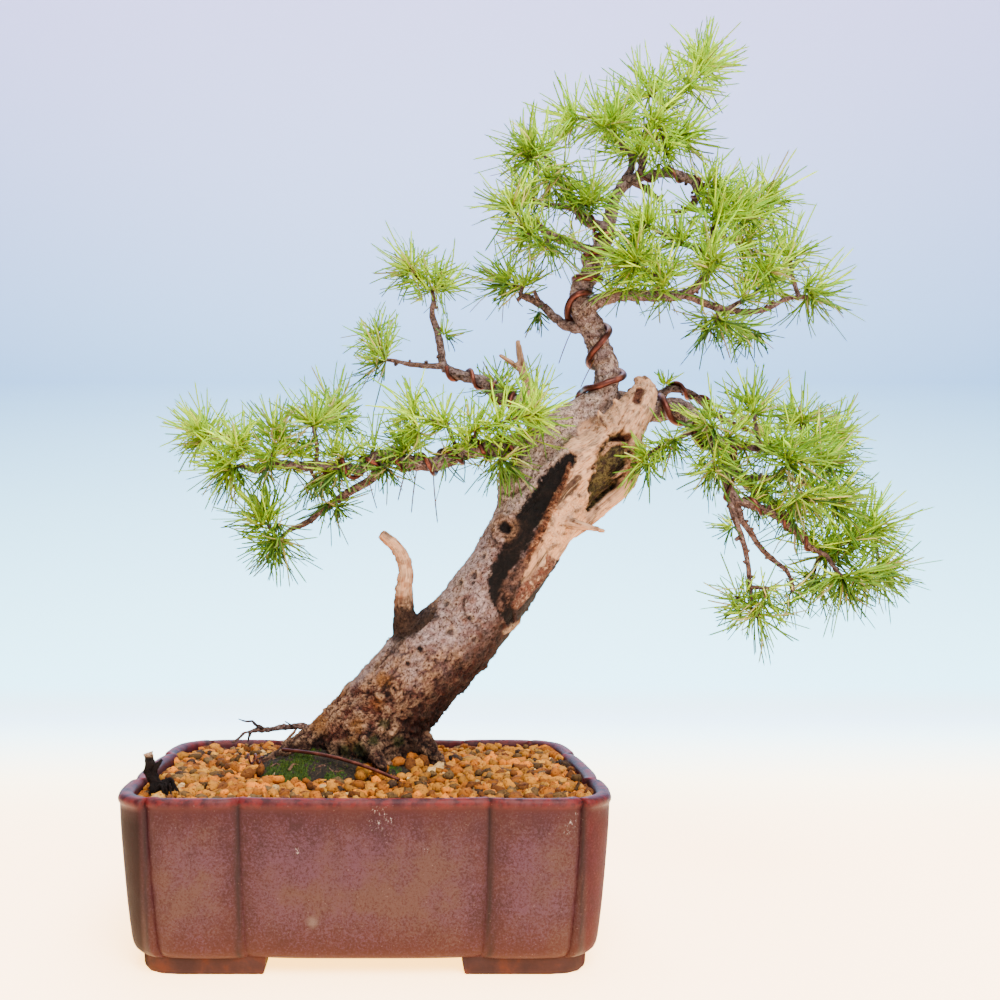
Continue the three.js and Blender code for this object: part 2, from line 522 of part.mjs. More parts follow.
// Needle sprays: each is a row of tufts [place, lean, needles, reach], with thin twigs between them
const sprays = {
  left_tip: [
    [[-78, 6, 254], [-1, -0.3, -0.7], 14, 24],
    [[-93, 12, 273], [-1, 0.2, 0.7], 17, 25],
    [[-70, -8, 265], [-0.2, -1, 0.8], 10, 21],
  ],
  left_upright: [
    [[-53, -8, 257], [-0.3, -1, -0.2], 9, 20],
    [[-51, -2, 271], [0, 0.1, 1], 14, 24],
  ],
  left_mid: [
    [[-30, -10, 276], [0, -0.4, 1], 13, 24],
    [[-18, 8, 284], [0.2, 0.7, 1], 13, 24],
  ],
  left_droop: [[[-30, 12, 248], [0.1, 0.6, -1], 11, 22]],
  left_hang: [
    [[-53, 22, 212], [-0.3, -0.1, -1], 20, 27],
    [[-61, 18, 225], [-0.6, -0.2, 0.8], 13, 25],
  ],
  upper_left_top: [
    [[37, 32, 361], [-0.4, -0.4, 0.8], 9, 18],
    [[24, 30, 373], [-0.7, -0.1, 0.9], 17, 24],
    [[45, 35, 363], [0.7, -0.2, 0.8], 13, 24],
  ],
  upper_left_star: [
    [[9, 15, 316], [-1, -0.3, 0.3], 17, 26],
    [[5, 20, 333], [0, 0.8, 0.8], 9, 20],
  ],
  centre_shoot: [
    [[43, -18, 275], [-0.4, -0.6, 0.6], 9, 20],
    [[25, -22, 279], [-1, -0.3, 0.4], 15, 25],
  ],
  centre_long: [
    [[58, -20, 271], [0, -0.8, 0.5], 9, 18],
    [[71, -24, 274], [0.1, -0.9, 0.4], 10, 20],
    [[90, -26, 279], [0.9, -0.4, 0.5], 14, 24],
  ],
  centre_hang: [[[73, -14, 255], [0.2, -0.4, -1], 12, 22]],
  centre_back: [[[77, 36, 305], [0, 0.7, 1], 11, 20]],
  left_back: [[[20, 2, 267], [-0.1, 0.8, 0.6], 12, 22]],
  crown_left_tip: [
    [[96, -16, 422], [0, 0.3, 1], 12, 23],
    [[86, -22, 418], [-1, -0.3, 0.3], 15, 25],
    [[99, -26, 404], [-0.2, -0.8, -0.7], 11, 22],
  ],
  crown_left_inner: [[[122, -14, 397], [0.2, -0.6, 1], 15, 26]],
  crown_left_back: [[[93, 14, 409], [-1, 0.5, 0.3], 15, 25]],
  crown_left_front: [
    [[97, -28, 368], [0.1, -0.4, -1], 11, 22],
    [[85, -33, 372], [-0.5, -0.5, -0.8], 10, 20],
    [[76, -32, 388], [-1, -0.5, 0.1], 12, 22],
  ],
  side_branch_tip: [
    [[90, 24, 361], [0.1, 0, 1], 10, 21],
    [[80, 29, 364], [-1, 0.4, 0.4], 14, 24],
  ],
  top_tip: [
    [[176, -11, 460], [0.6, -0.8, 0], 9, 22],
    [[187, -6, 474], [0.6, -0.1, 1], 18, 26],
  ],
  top_mid: [[[158, 4, 463], [-0.4, 0.5, 1], 16, 26]],
  top_front: [
    [[156, -17, 439], [0.2, -1, 0.3], 10, 22],
    [[162, -16, 423], [0.4, -0.9, -0.5], 9, 20],
  ],
  top_left: [
    [[133, 4, 447], [-0.3, -0.6, 0.8], 18, 26],
    [[145, 13, 452], [0.3, 0.9, 0.8], 11, 24],
    [[116, 9, 451], [-1, 0.2, 0.3], 13, 24],
  ],
  top_right: [[[173, -8, 435], [1, -0.2, 0.1], 15, 24]],
  loop_tip: [[[186, -15, 406], [1, -0.3, 0.5], 12, 22]],
  top_back: [[[152, 19, 438], [0, 1, 0.3], 13, 24]],
  crown_right_shoot: [
    [[168, -24, 371], [-0.4, -0.7, 0.6], 9, 20],
    [[148, -30, 379], [-1, -0.4, 0.5], 15, 24],
  ],
  crown_right_big: [
    [[156, -27, 351], [-0.3, -0.8, 0.2], 9, 22],
    [[142, -30, 359], [-1, -0.5, 0.2], 18, 27],
  ],
  crown_right_star: [[[180, -30, 357], [-0.1, -1, 0], 14, 25]],
  crown_right_up: [
    [[191, -12, 394], [0.1, -0.2, 1], 15, 25],
    [[202, -14, 388], [0.4, -0.6, 0.8], 11, 22],
    [[217, -8, 397], [1, -0.1, 0.6], 16, 26],
  ],
  crown_right_mid: [
    [[206, -8, 375], [0.7, -0.5, 0.1], 12, 24],
    [[222, -4, 362], [0.3, -0.5, 0.8], 12, 23],
  ],
  crown_right_tip_up: [[[240, 12, 375], [0.4, 0.1, 1], 16, 25]],
  crown_right_tip: [[[252, 12, 352], [1, 0.1, -0.4], 17, 26]],
  crown_right_under: [
    [[191, -11, 333], [-0.2, -0.4, -1], 12, 24],
    [[213, 3, 331], [0.1, 0.3, -1], 9, 20],
  ],
  crown_right_back: [[[168, 33, 377], [0.2, 1, 0.2], 13, 24]],
  crown_right_deep: [[[231, 20, 361], [0.3, 1, 0.2], 12, 24]],
  bough_inner: [
    [[168, -8, 267], [-0.5, -0.5, -0.8], 9, 20],
    [[151, -16, 257], [-1, -0.3, -0.5], 10, 20],
  ],
  bough_left: [
    [[187, -17, 273], [-1, -0.6, -0.1], 11, 24],
    [[188, -20, 251], [-0.3, -0.5, -1], 10, 21],
  ],
  bough_up: [[[214, -4, 283], [0.1, -0.3, 1], 15, 24]],
  bough_up_two: [
    [[244, 6, 280], [0, 0.1, 1], 15, 25],
    [[265, 10, 271], [1, 0.2, 0.4], 13, 23],
  ],
  bough_star: [
    [[228, -18, 257], [-0.1, -1, 0], 17, 27],
    [[250, -9, 253], [1, -0.6, -0.1], 14, 26],
  ],
  bough_fringe: [
    [[233, -22, 234], [0.1, -0.8, -0.8], 12, 24],
    [[254, -13, 232], [0.6, -0.8, 0.1], 15, 26],
  ],
  bough_tip: [
    [[268, -2, 212], [0.3, -0.9, 0.3], 10, 22],
    [[283, 4, 220], [0.8, 0, 0.9], 15, 25],
    [[285, 0, 197], [1, -0.2, -0.7], 17, 27],
  ],
  bough_low: [[[259, -13, 192], [-0.1, -0.5, -1], 18, 28]],
  bough_under: [[[254, 14, 190], [-0.2, 0.7, -0.8], 12, 24]],
  bough_back: [[[274, 46, 244], [0.6, 1, 0.2], 13, 25]],
  bough_back_up: [[[237, 43, 277], [0.1, 1, 0.6], 13, 24]],
  hanging_tip: [
    [[213, -26, 186], [0.4, -0.9, 0.2], 7, 20],
    [[211, -18, 171], [0.6, -0.4, -1], 17, 27],
    [[202, -14, 180], [-1, -0.3, 0.3], 12, 23],
  ],
  hanging_right: [[[234, -8, 184], [0.4, -0.5, -0.8], 12, 23]],
};

// Rods are short straight pieces with a radius at each end, used to keep everything apart
const woodRods = [];
const wireRods = [];
const greenRods = [];

function addRods(list, spine, owner, swell) {
  for (let i = 0; i + 1 < spine.length; i += 1) {
    const [p, q] = [spine[i], spine[i + 1]];
    list.push({ a: p.place, b: q.place, ra: p.radius * swell, rb: q.radius * swell, owner });
  }
}

// Where two rods are closest: [share along the first, share along the second, distance]
function nearest(p, q) {
  const d1 = p.b.clone().sub(p.a);
  const d2 = q.b.clone().sub(q.a);
  const r = p.a.clone().sub(q.a);
  const a = d1.lengthSq();
  const e = d2.lengthSq();
  const f = d2.dot(r);
  const c = d1.dot(r);
  const b = d1.dot(d2);
  const clamp = THREE.MathUtils.clamp;
  const denominator = a * e - b * b;
  let s = denominator > 1e-9 ? clamp((b * f - c * e) / denominator, 0, 1) : 0;
  let t = e > 1e-9 ? (b * s + f) / e : 0;
  if (t < 0) {
    t = 0;
    s = a > 1e-9 ? clamp(-c / a, 0, 1) : 0;
  } else if (t > 1) {
    t = 1;
    s = a > 1e-9 ? clamp((b - c) / a, 0, 1) : 0;
  }
  const gap = p.a.clone().addScaledVector(d1, s).distanceTo(q.a.clone().addScaledVector(d2, t));
  return [s, t, gap];
}

function clearance(rod, list, skip = () => false) {
  let least = Infinity;
  const middle = rod.a.clone().add(rod.b).multiplyScalar(0.5);
  const half = rod.a.distanceTo(rod.b) / 2;
  for (const other of list) {
    const reach = half + other.a.distanceTo(other.b) + rod.ra + other.ra + other.rb + 2;
    if (!skip(other) && other.a.distanceTo(middle) < reach) {
      const [s, t, gap] = nearest(rod, other);
      const room = gap - rod.ra - (rod.rb - rod.ra) * s - other.ra - (other.rb - other.ra) * t;
      least = Math.min(least, room);
    }
  }
  return least;
}

// Bark: shallow plates and flutes
const trunkBark = (angle, along) =>
  0.035 * Math.sin(3 * angle + along * 0.03) +
  0.025 * Math.sin(7 * angle - along * 0.09) +
  0.02 * Math.sin(11 * angle + along * 0.21);
const deadwoodGrain = (angle, along) =>
  0.09 * Math.sin(2 * angle + 0.8 + along * 0.02) + 0.05 * Math.sin(5 * angle - along * 0.05);
const branchBark = (angle, along) => 0.05 * Math.sin(2 * angle + along * 0.4);

const wood = [];
const bearing = [];

function growLimb(name, points, spacing, options) {
  const spine = makeSpine(points, spacing);
  wood.push(skinLimb(spine, options));
  addRods(woodRods, spine, name, options.swell ?? 1.06);
  return spine;
}

function bear(spine) {
  for (let i = 0; i + 1 < spine.length; i += 1) {
    for (const share of [0, 0.25, 0.5, 0.75]) {
      const place = spine[i].place.clone().lerp(spine[i + 1].place, share);
      bearing.push({ place, radius: spine[i].radius });
    }
  }
}

growLimb('trunk', trunk, 12, { sides: 16, relief: trunkBark, flatStart: true, swell: 1.08 });
growLimb('deadwood', deadwood, 11, { sides: 11, relief: deadwoodGrain, swell: 1.14 });
growLimb('root_twig', rootTwig, 16, { sides: 4 });
bear(growLimb('living', living, 13, { sides: 9, relief: trunkBark }));
bear(growLimb('leader', leader, 12, { sides: 7, relief: branchBark }));
for (const [name, points] of Object.entries(roots)) {
  growLimb(name, points, 14, { sides: 6 });
}
for (const [name, points] of Object.entries(deadStubs)) {
  growLimb(name, points, 12, { sides: 5 });
}
for (const [name, points] of Object.entries(branches)) {
  const thick = Math.max(...points.slice(1).map((p) => p[3])) > 3;
  bear(growLimb(name, points, thick ? 12 : 16, { sides: thick ? 6 : 4, relief: branchBark }));
}

// A wire's route is wound round its branch, then bent clear of every limb and other wire it meets
function windWire(points, from, to, turns, phase, wireRadius) {
  const samples = makeRoute(points);
  const steps = Math.round(Math.abs(turns) * STEPS_PER_TURN);
  const outward = 1 / Math.cos(Math.PI / STEPS_PER_TURN);
  const route = [];
  for (let i = 0; i <= steps; i += 1) {
    const share = i / steps;
    const sample = samples[Math.round((from + (to - from) * share) * (samples.length - 1))];
    const angle = phase + turns * 2 * Math.PI * share;
    route.push(onRing(sample, angle, (sample.radius * 1.05 + wireRadius + GAP) * outward));
  }
  return route;
}

function bendClear(route, wireRadius) {
  const obstacles = [...woodRods, ...wireRods];
  for (let round = 0; round < 30; round += 1) {
    for (let i = 0; i + 1 < route.length; i += 1) {
      for (const rod of obstacles) {
        const piece = { a: route[i], b: route[i + 1] };
        const [s, t, gap] = nearest(piece, rod);
        const need = rod.ra + (rod.rb - rod.ra) * t + wireRadius + GAP;
        if (gap < need) {
          const foot = rod.a.clone().lerp(rod.b, t);
          const away = piece.a.clone().lerp(piece.b, s).sub(foot);
          if (away.lengthSq() < SMALL) {
            away.copy(up);
          }
          away.setLength(need - gap + 0.03);
          route[i].addScaledVector(away, 1 - s * 0.5);
          route[i + 1].addScaledVector(away, 0.5 + s * 0.5);
        }
      }
    }
  }
  return route;
}

function makeWire(name, route, wireRadius) {
  const curve = new THREE.CatmullRomCurve3(route, false, 'centripetal');
  const section = new THREE.Shape();
  const sides = wireRadius > 1.5 ? 5 : 4;
  for (let i = 0; i < sides; i += 1) {
    const angle = (i / sides) * 2 * Math.PI;
    const point = [wireRadius * Math.cos(angle), wireRadius * Math.sin(angle)];
    section[i === 0 ? 'moveTo' : 'lineTo'](...point);
  }
  section.closePath();
  for (let i = 0; i + 1 < route.length; i += 1) {
    wireRods.push({ a: route[i], b: route[i + 1], ra: wireRadius, rb: wireRadius, owner: name });
  }
  return new THREE.ExtrudeGeometry(section, {
    steps: route.length - 1,
    extrudePath: curve,
    bevelEnabled: false,
  });
}

// [branch, from, to, turns, phase, wire radius]
const wires = {
  wire_leader: [[...living.slice(3, -1), ...leader], 0.05, 0.82, 6, 1.2, 1.9],
  wire_left: [branches.leftMain, 0.1, 0.72, 7, 2, 1.4],
  wire_upper_left: [branches.upperLeft, 0.12, 0.62, 3.5, 0, 1.3],
  wire_crown_left: [branches.crownA, 0.12, 0.92, 3.5, 0.5, 0.9],
  wire_bough: [branches.bough, 0.18, 0.62, 3.5, 2.4, 1.9],
  wire_thin_upper: [branches.thinUpper, 0.12, 0.72, 3, 1, 1.3],
  wire_bough_front: [branches.boughFront, 0.1, 0.9, 4, 0, 1],
};
const wireGeometries = {};
for (const [name, [points, from, to, turns, phase, radius]] of Object.entries(wires)) {
  const route = bendClear(windWire(points, from, to, turns, phase, radius), radius);
  wireGeometries[name] = makeWire(name, route, radius);
}

// The cut length of wire that lies on the mound
const looseWire = [];
for (let i = 0; i <= 8; i += 1) {
  const x = -46 + (63 * i) / 8;
  const y = -17 - (29 * i) / 8;
  const z = Math.max(moundHeight(x, y) + 0.7, soilHeight(x, y) + GRAIN_RELIEF);
  looseWire.push(new THREE.Vector3(x, y, z + LOOSE_WIRE_RADIUS + GAP));
}
const lying = bendClear(looseWire, LOOSE_WIRE_RADIUS);
wireGeometries.wire_loose = makeWire('wire_loose', lying, LOOSE_WIRE_RADIUS);

// The first tuft of every spray sits on a spur of the nearest branch that a clear way leads from
for (const tufts of Object.values(sprays)) {
  for (let i = 0; i < tufts.length; i += 1) {
    const place = vec(tufts[i][0]);
    greenRods.push({ a: place, b: place, ra: BUD_RADIUS, rb: BUD_RADIUS, owner: tufts, bud: i });
    if (i > 0) {
      const before = vec(tufts[i - 1][0]);
      greenRods.push({ a: before, b: place, ra: TWIG_RADIUS, rb: TWIG_RADIUS, owner: tufts });
    }
  }
}

for (const [name, tufts] of Object.entries(sprays)) {
  const bud = vec(tufts[0][0]);
  const room = BUD_RADIUS + GAP;
  const options = bearing
    .map((sample) => ({ sample, distance: sample.place.distanceTo(bud) }))
    .sort((p, q) => p.distance - q.distance);
  const chosen = options.find(({ sample, distance }) => {
    const end = bud.clone().lerp(sample.place, room / distance);
    const spur = { a: sample.place, b: end, ra: SPUR_RADIUS, rb: TWIG_RADIUS };
    const ownBud = (rod) => rod.owner === tufts && rod.bud === 0;
    return clearance(spur, wireRods) > GAP && clearance(spur, greenRods, ownBud) > SPUR_TO_TWIG;
  });
  if (!chosen) {
    throw new Error(`no clear way to ${name}`);
  }
  const { sample, distance } = chosen;
  const end = bud.clone().lerp(sample.place, room / distance);
  const spur = [
    [...sample.place.toArray(), Math.min(SPUR_RADIUS, sample.radius)],
    [...end.clone().lerp(sample.place, TWIG_RADIUS / 2 / distance).toArray(), TWIG_RADIUS],
  ];
  growLimb(`spur_${name}`, spur, 60, { sides: 3 });
}

// A tuft is a small bud whose faces are drawn out into long three-sided needles. The bud of a full
// star has more, smaller faces.
function makeTuft(place, lean, needles, reach, random, owner) {
  const axis = vec(lean).normalize();
  const centre = vec(place);
  const geometry = new THREE.IcosahedronGeometry(BUD_RADIUS, needles >= STAR_FROM ? 1 : 0);
  const turn = new THREE.Euler(random() * 6, random() * 6, random() * 6);
  geometry.applyMatrix4(new THREE.Matrix4().makeRotationFromEuler(turn));
  const corners = geometry.attributes.position;
  const faces = [];
  for (let i = 0; i < corners.count; i += 3) {
    const face = [0, 1, 2].map((k) => new THREE.Vector3().fromBufferAttribute(corners, i + k));
    faces.push({ face, order: random() });
  }
  faces.sort((p, q) => p.order - q.order);
  const triangles = [];
  let grown = 0;
  for (const { face } of faces) {
    const towards = face[0].clone().add(face[1]).add(face[2]).normalize();
    const jitter = face[Math.floor(random() * 3)].clone().normalize();
    towards.lerp(jitter, 0.4 * random()).normalize();
    const length = reach * (0.82 + 0.22 * random());
    const wanted = towards.dot(axis) > -0.4 && grown < needles;
    const tip = wanted ? clearTip(centre, towards, length, owner) : null;
    if (tip) {
      grown += 1;
      for (let k = 0; k < 3; k += 1) {
        triangles.push(face[k].clone().add(centre), face[(k + 1) % 3].clone().add(centre), tip);
      }
    } else {
      triangles.push(...face.map((p) => p.clone().add(centre)));
    }
  }
  const tuft = new THREE.BufferGeometry();
  const positions = triangles.flatMap((p) => p.toArray());
  tuft.setAttribute('position', new THREE.Float32BufferAttribute(positions, 3));
  return toSolid(tuft);
}

// The tip of a needle that meets nothing on its way, shorter if it must be, or null
function clearTip(centre, towards, length, owner) {
  const from = centre.clone().addScaledVector(towards, BUD_RADIUS + 0.4);
  for (const share of [1, 0.72]) {
    const tip = centre.clone().addScaledVector(towards, length * share);
    const rod = { a: from, b: tip, ra: NEEDLE_HALF_WIDTH, rb: 0.1, owner };
    const meets = (p) => p.distanceTo(centre) < 0.01;
    const own = (other) => other.owner === owner || meets(other.a) || meets(other.b);
    const free =
      clearance(rod, woodRods) > NEEDLE_TO_WOOD &&
      clearance(rod, wireRods) > NEEDLE_TO_WIRE &&
      clearance(rod, greenRods, own) > NEEDLE_TO_NEEDLE;
    if (free) {
      greenRods.push(rod);
      return tip;
    }
  }
  return null;
}

const greenRandom = seeded(2026);
const sprayGeometries = {};
for (const [name, tufts] of Object.entries(sprays)) {
  const solids = [];
  for (let i = 0; i < tufts.length; i += 1) {
    const owner = `${name} ${i}`;
    solids.push(makeTuft(...tufts[i], greenRandom, owner));
    if (i > 0) {
      const link = [[...tufts[i - 1][0], TWIG_RADIUS], [...tufts[i][0], TWIG_RADIUS]];
      solids.push(makeLimb(link, 60, { sides: 4 }));
    }
  }
  sprayGeometries[`spray_${name}`] = toGeometry(joined(solids));
}

// The old root that stands up in the front left corner of the pot
const cornerStub = [[-104, -60, 74, 3], [-105, -60, 86, 2.8], [-107, -60, 97, 2.4], [-107, -60, 104, 2]];

// The trunk and roots stand in plain holes in the mound and the soil
const sockets = [makeLimb(trunk.slice(0, 5), 14, { sides: 14, extra: ROOT_CLEARANCE })];
for (const points of Object.values(roots)) {
  sockets.push(makeLimb(points, 14, { sides: 6, extra: GAP + 0.1 }));
}
const socket = joined(sockets);
const mound = makeMound(0).subtract(socket);
const soil = makeSoil()
  .subtract(makeMound(GAP))
  .subtract(socket)
  .subtract(makeLimb(cornerStub, 10, { sides: 6, extra: GAP + 0.1 }));
const tree = joined(wood);

const colours = {
  pot: { color: 0x6b3a34, roughness: 0.35, metalness: 0 },
  soil: { color: 0xb5783c, roughness: 0.95, metalness: 0 },
  moss: { color: 0x3d4a1c, roughness: 1, metalness: 0 },
  tree: { color: 0x7d6153, roughness: 0.9, metalness: 0 },
  copper: { color: 0x8a4630, roughness: 0.35, metalness: 0.8 },
  needles: { color: 0x86bf35, roughness: 0.6, metalness: 0 },
  root: { color: 0x3a2a20, roughness: 0.9, metalness: 0 },
};
const bonsai = new THREE.Group();
bonsai.position.set(-BOX_MIDDLE.x, -BOX_MIDDLE.y, 0);

function addPiece(name, geometry, finish) {
  const mesh = new THREE.Mesh(geometry, new THREE.MeshStandardMaterial(colours[finish]));
  mesh.name = name;
  bonsai.add(mesh);
}

addPiece('pot', makePot(), 'pot');
addPiece('soil', toGeometry(soil), 'soil');
addPiece('moss_mound', toGeometry(mound), 'moss');
addPiece('tree', toGeometry(tree), 'tree');
addPiece('corner_root', toGeometry(makeLimb(cornerStub, 10)), 'root');
for (const [name, geometry] of Object.entries(wireGeometries)) {
  addPiece(name, geometry, 'copper');
}
for (const [name, geometry] of Object.entries(sprayGeometries)) {
  addPiece(name, geometry, 'needles');
}

export default bonsai;
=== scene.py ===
# %% [markdown]
# # A larch bonsai, dressed for a portrait
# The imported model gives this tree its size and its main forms: a lobed stoneware pot, the clay
# granules in it, a leaning trunk with dead wood, wired branches and tufts of needles. This lesson
# makes the visible surfaces round that model: bark, bleached wood, moss, granules, glaze, copper
# and thousands of needles. Nothing here changes a dimension, because each new piece is
# built from the same routes and places as the solid that it stands for. Vector noise starts from
# the time of day unless it is given a seed, so it gets one, and the tree is the same every time.

import math
import random

import bmesh
import bpy
from mathutils import Matrix, Vector, kdtree, noise


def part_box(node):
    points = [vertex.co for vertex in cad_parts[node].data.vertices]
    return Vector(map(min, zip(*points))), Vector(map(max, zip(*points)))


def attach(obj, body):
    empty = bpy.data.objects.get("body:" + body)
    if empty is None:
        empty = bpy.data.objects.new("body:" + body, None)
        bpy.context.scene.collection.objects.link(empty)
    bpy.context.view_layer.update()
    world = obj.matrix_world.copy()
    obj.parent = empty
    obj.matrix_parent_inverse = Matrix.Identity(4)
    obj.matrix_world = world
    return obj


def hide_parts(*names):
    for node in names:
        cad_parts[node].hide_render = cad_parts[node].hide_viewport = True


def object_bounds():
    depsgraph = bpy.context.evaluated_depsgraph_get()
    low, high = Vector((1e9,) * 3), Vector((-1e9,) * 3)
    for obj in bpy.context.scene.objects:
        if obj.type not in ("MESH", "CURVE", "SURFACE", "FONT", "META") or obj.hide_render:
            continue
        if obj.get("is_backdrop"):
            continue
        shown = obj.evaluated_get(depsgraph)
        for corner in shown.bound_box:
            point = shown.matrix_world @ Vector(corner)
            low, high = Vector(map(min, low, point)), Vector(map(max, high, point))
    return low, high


NOISE_SEED = 11
noise.seed_set(NOISE_SEED)
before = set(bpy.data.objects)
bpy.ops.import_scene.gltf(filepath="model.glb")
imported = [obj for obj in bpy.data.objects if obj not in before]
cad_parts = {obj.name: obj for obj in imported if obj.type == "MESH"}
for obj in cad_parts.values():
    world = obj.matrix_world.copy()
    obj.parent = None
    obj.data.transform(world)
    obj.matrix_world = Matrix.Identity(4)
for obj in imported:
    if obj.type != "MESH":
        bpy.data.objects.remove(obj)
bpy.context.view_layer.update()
bpy.ops.object.select_all(action="DESELECT")

# %% [markdown]
# ## Millimetres from the middle of the pot
# The tables below are in millimetres from the middle of the pot, on the ground, because that is
# how a pot and a tree are measured by hand. One helper turns them into Blender's metres.

# %% Units and places
MM = 0.001
pot_low, pot_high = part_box("pot")
POT_MIDDLE = (pot_low.x + pot_high.x) / 2


def place(x, y, z):
    """A point in metres, from millimetres measured from the middle of the pot."""
    return Vector((POT_MIDDLE + x * MM, y * MM, z * MM))


def measured(point):
    """The same point back in millimetres."""
    return Vector(((point.x - POT_MIDDLE) / MM, point.y / MM, point.z / MM))


# %% [markdown]
# ## The camera
# The tree was looked at from the height of its lower branches, straight along +Y, a bit under
# 0.6 m from the pot's middle. The lens is shifted instead of tilted, so upright lines stay
# upright. The same numbers say where a pixel of the picture lies at a known depth, which is
# used for marks on the trunk. There a pixel is PIXEL millimetres wide.

# %% Camera
CAMERA = Vector((13.4, -578, 194.6))
FOCAL = 1035
AXIS_PIXEL = (392, 572)
PIXEL = 0.54
bpy.ops.object.camera_add(location=place(*CAMERA), rotation=(math.radians(90), 0, 0))
camera = bpy.context.object
camera.name = "camera"
camera.data.sensor_width = 36
camera.data.lens = 36 * FOCAL / 1000
camera.data.shift_x = (500 - AXIS_PIXEL[0]) / 1000
camera.data.shift_y = (AXIS_PIXEL[1] - 500) / 1000
camera.data.clip_start = 0.01
bpy.context.scene.camera = camera


def seen(px, py, y=-20):
    """Where a pixel lies, as (x, z) in millimetres, on things at depth y."""
    scale = (y - CAMERA.y) / FOCAL
    x = CAMERA.x + (px - AXIS_PIXEL[0]) * scale
    return x, CAMERA.z - (py - AXIS_PIXEL[1]) * scale


# %% [markdown]
# ## Shader sums written as Python
# A material is a graph of nodes. To keep the graphs readable, a socket is wrapped in a small
# class, so that `1 - mask` or `grain * 0.3 + 0.5` adds the Math nodes that it needs. All other
# nodes come from one method, which takes the node's type, its settings and its inputs.


# %% Shader helpers
class Value:
    """A socket that can be used in Python sums."""

    def __init__(self, finish, socket):
        self.finish = finish
        self.socket = socket

    def sum(self, operation, first, second=0.0):
        return self.finish.node("ShaderNodeMath", {"operation": operation}, {0: first, 1: second})

    def __add__(self, other):
        return self.sum("ADD", self, other)

    def __radd__(self, other):
        return self.sum("ADD", other, self)

    def __sub__(self, other):
        return self.sum("SUBTRACT", self, other)

    def __rsub__(self, other):
        return self.sum("SUBTRACT", other, self)

    def __mul__(self, other):
        return self.sum("MULTIPLY", self, other)

    def __rmul__(self, other):
        return self.sum("MULTIPLY", other, self)

    def between(self, low, high):
        """0 up to low, 1 from high on, and a soft step from one to the other."""
        settings = {"interpolation_type": "SMOOTHSTEP"}
        inputs = {"Value": self, "From Min": low, "From Max": high}
        return self.finish.node("ShaderNodeMapRange", settings, inputs)

    def contours(self, width):
        """1 on the thin winding lines where a noise is at its middle, 0 away from them."""
        gap = self - 0.5
        return gap.sum("ABSOLUTE", gap).between(width, 0)


class Finish:
    """One material, with the few node recipes that this object needs."""

    def __init__(self, name, roughness=0.5, metallic=0.0, specular=0.5):
        self.material = bpy.data.materials.new(name)
        self.material.use_nodes = True
        self.tree = self.material.node_tree
        self.shader = self.tree.nodes["Principled BSDF"]
        self.place = self.node("ShaderNodeTexCoord", output="Object")
        self.shader.inputs["Roughness"].default_value = roughness
        self.shader.inputs["Metallic"].default_value = metallic
        self.shader.inputs["Specular IOR Level"].default_value = specular

    def node(self, kind, settings=None, inputs=None, output=0):
        made = self.tree.nodes.new(kind)
        for key, setting in (settings or {}).items():
            if key == "stops":
                self.set_stops(made.color_ramp, setting)
            else:
                setattr(made, key, setting)
        for key, amount in (inputs or {}).items():
            if isinstance(amount, Value):
                self.tree.links.new(amount.socket, made.inputs[key])
            else:
                made.inputs[key].default_value = amount
        return Value(self, made.outputs[output])

    def set_stops(self, ramp, stops):
        ramp.elements[0].position, ramp.elements[0].color = stops[0]
        ramp.elements[1].position, ramp.elements[1].color = stops[-1]
        for position, colour in stops[1:-1]:
            ramp.elements.new(position).color = colour

    def noise(self, size, detail=4.0, roughness=0.55, stretch=(1, 1, 1), where=None, twist=0.0):
        """Cloudy noise from 0 to 1, whose lumps are about size millimetres across."""
        at = where or self.place
        if stretch != (1, 1, 1):
            at = self.node("ShaderNodeMapping", inputs={"Vector": at, "Scale": stretch})
        inputs = {"Vector": at, "Scale": 1 / (size * MM), "Detail": detail, "Roughness": roughness}
        return self.node("ShaderNodeTexNoise", inputs={**inputs, "Distortion": twist})

    def ramp(self, amount, *stops):
        return self.node("ShaderNodeValToRGB", {"stops": stops}, {"Fac": amount})

    def mix(self, first, second, amount, blend="MIX"):
        settings = {"data_type": "RGBA", "blend_type": blend}
        return self.node("ShaderNodeMix", settings, {6: first, 7: second, 0: amount}, 2)

    def painted(self, name, output="Color"):
        return self.node("ShaderNodeAttribute", {"attribute_name": name}, output=output)

    def feed(self, socket, amount):
        self.tree.links.new(amount.socket, self.shader.inputs[socket])

    def bump(self, height, depth, strength=1.0):
        """Feeds Normal with a relief: depth is how high, in millimetres, height 1 stands."""
        inputs = {"Height": height, "Distance": depth * MM, "Strength": strength}
        self.feed("Normal", self.node("ShaderNodeBump", inputs=inputs))


def shade(red, green, blue):
    """A colour as a picture editor gives it, 0 to 255, made linear for the shader."""
    parts = [c / 255 for c in (red, green, blue)]
    linear = [c / 12.92 if c <= 0.04045 else ((c + 0.055) / 1.055) ** 2.4 for c in parts]
    return (*linear, 1.0)


# %% Small sums
def clamp(amount):
    return max(0, min(1, amount))


def soft(low, high, amount):
    """0 below low, 1 above high, smooth between; the other way round if low is over high."""
    t = clamp((amount - low) / (high - low))
    return t * t * (3 - 2 * t)


def bell(off, width):
    """1 in the middle of a mark, where off is 0, and falling away to both sides."""
    return math.exp(-((off / width) ** 2))


def blend(first, second, amount):
    """A colour between two colours."""
    return first.lerp(second, clamp(amount))


def spot_tree(spots):
    """A search tree that finds the number of the nearest of some points."""
    tree = kdtree.KDTree(len(spots))
    for i, spot in enumerate(spots):
        tree.insert(spot, i)
    tree.balance()
    return tree


# %% [markdown]
# ## Meshes
# Some forms repeat thousands of times: granules, moss, needles. One copy is worked out, and the
# copies go into one mesh, each with its own colour in an attribute called tint. The attribute
# belongs to the surface, so a material can read it, and it survives an export.


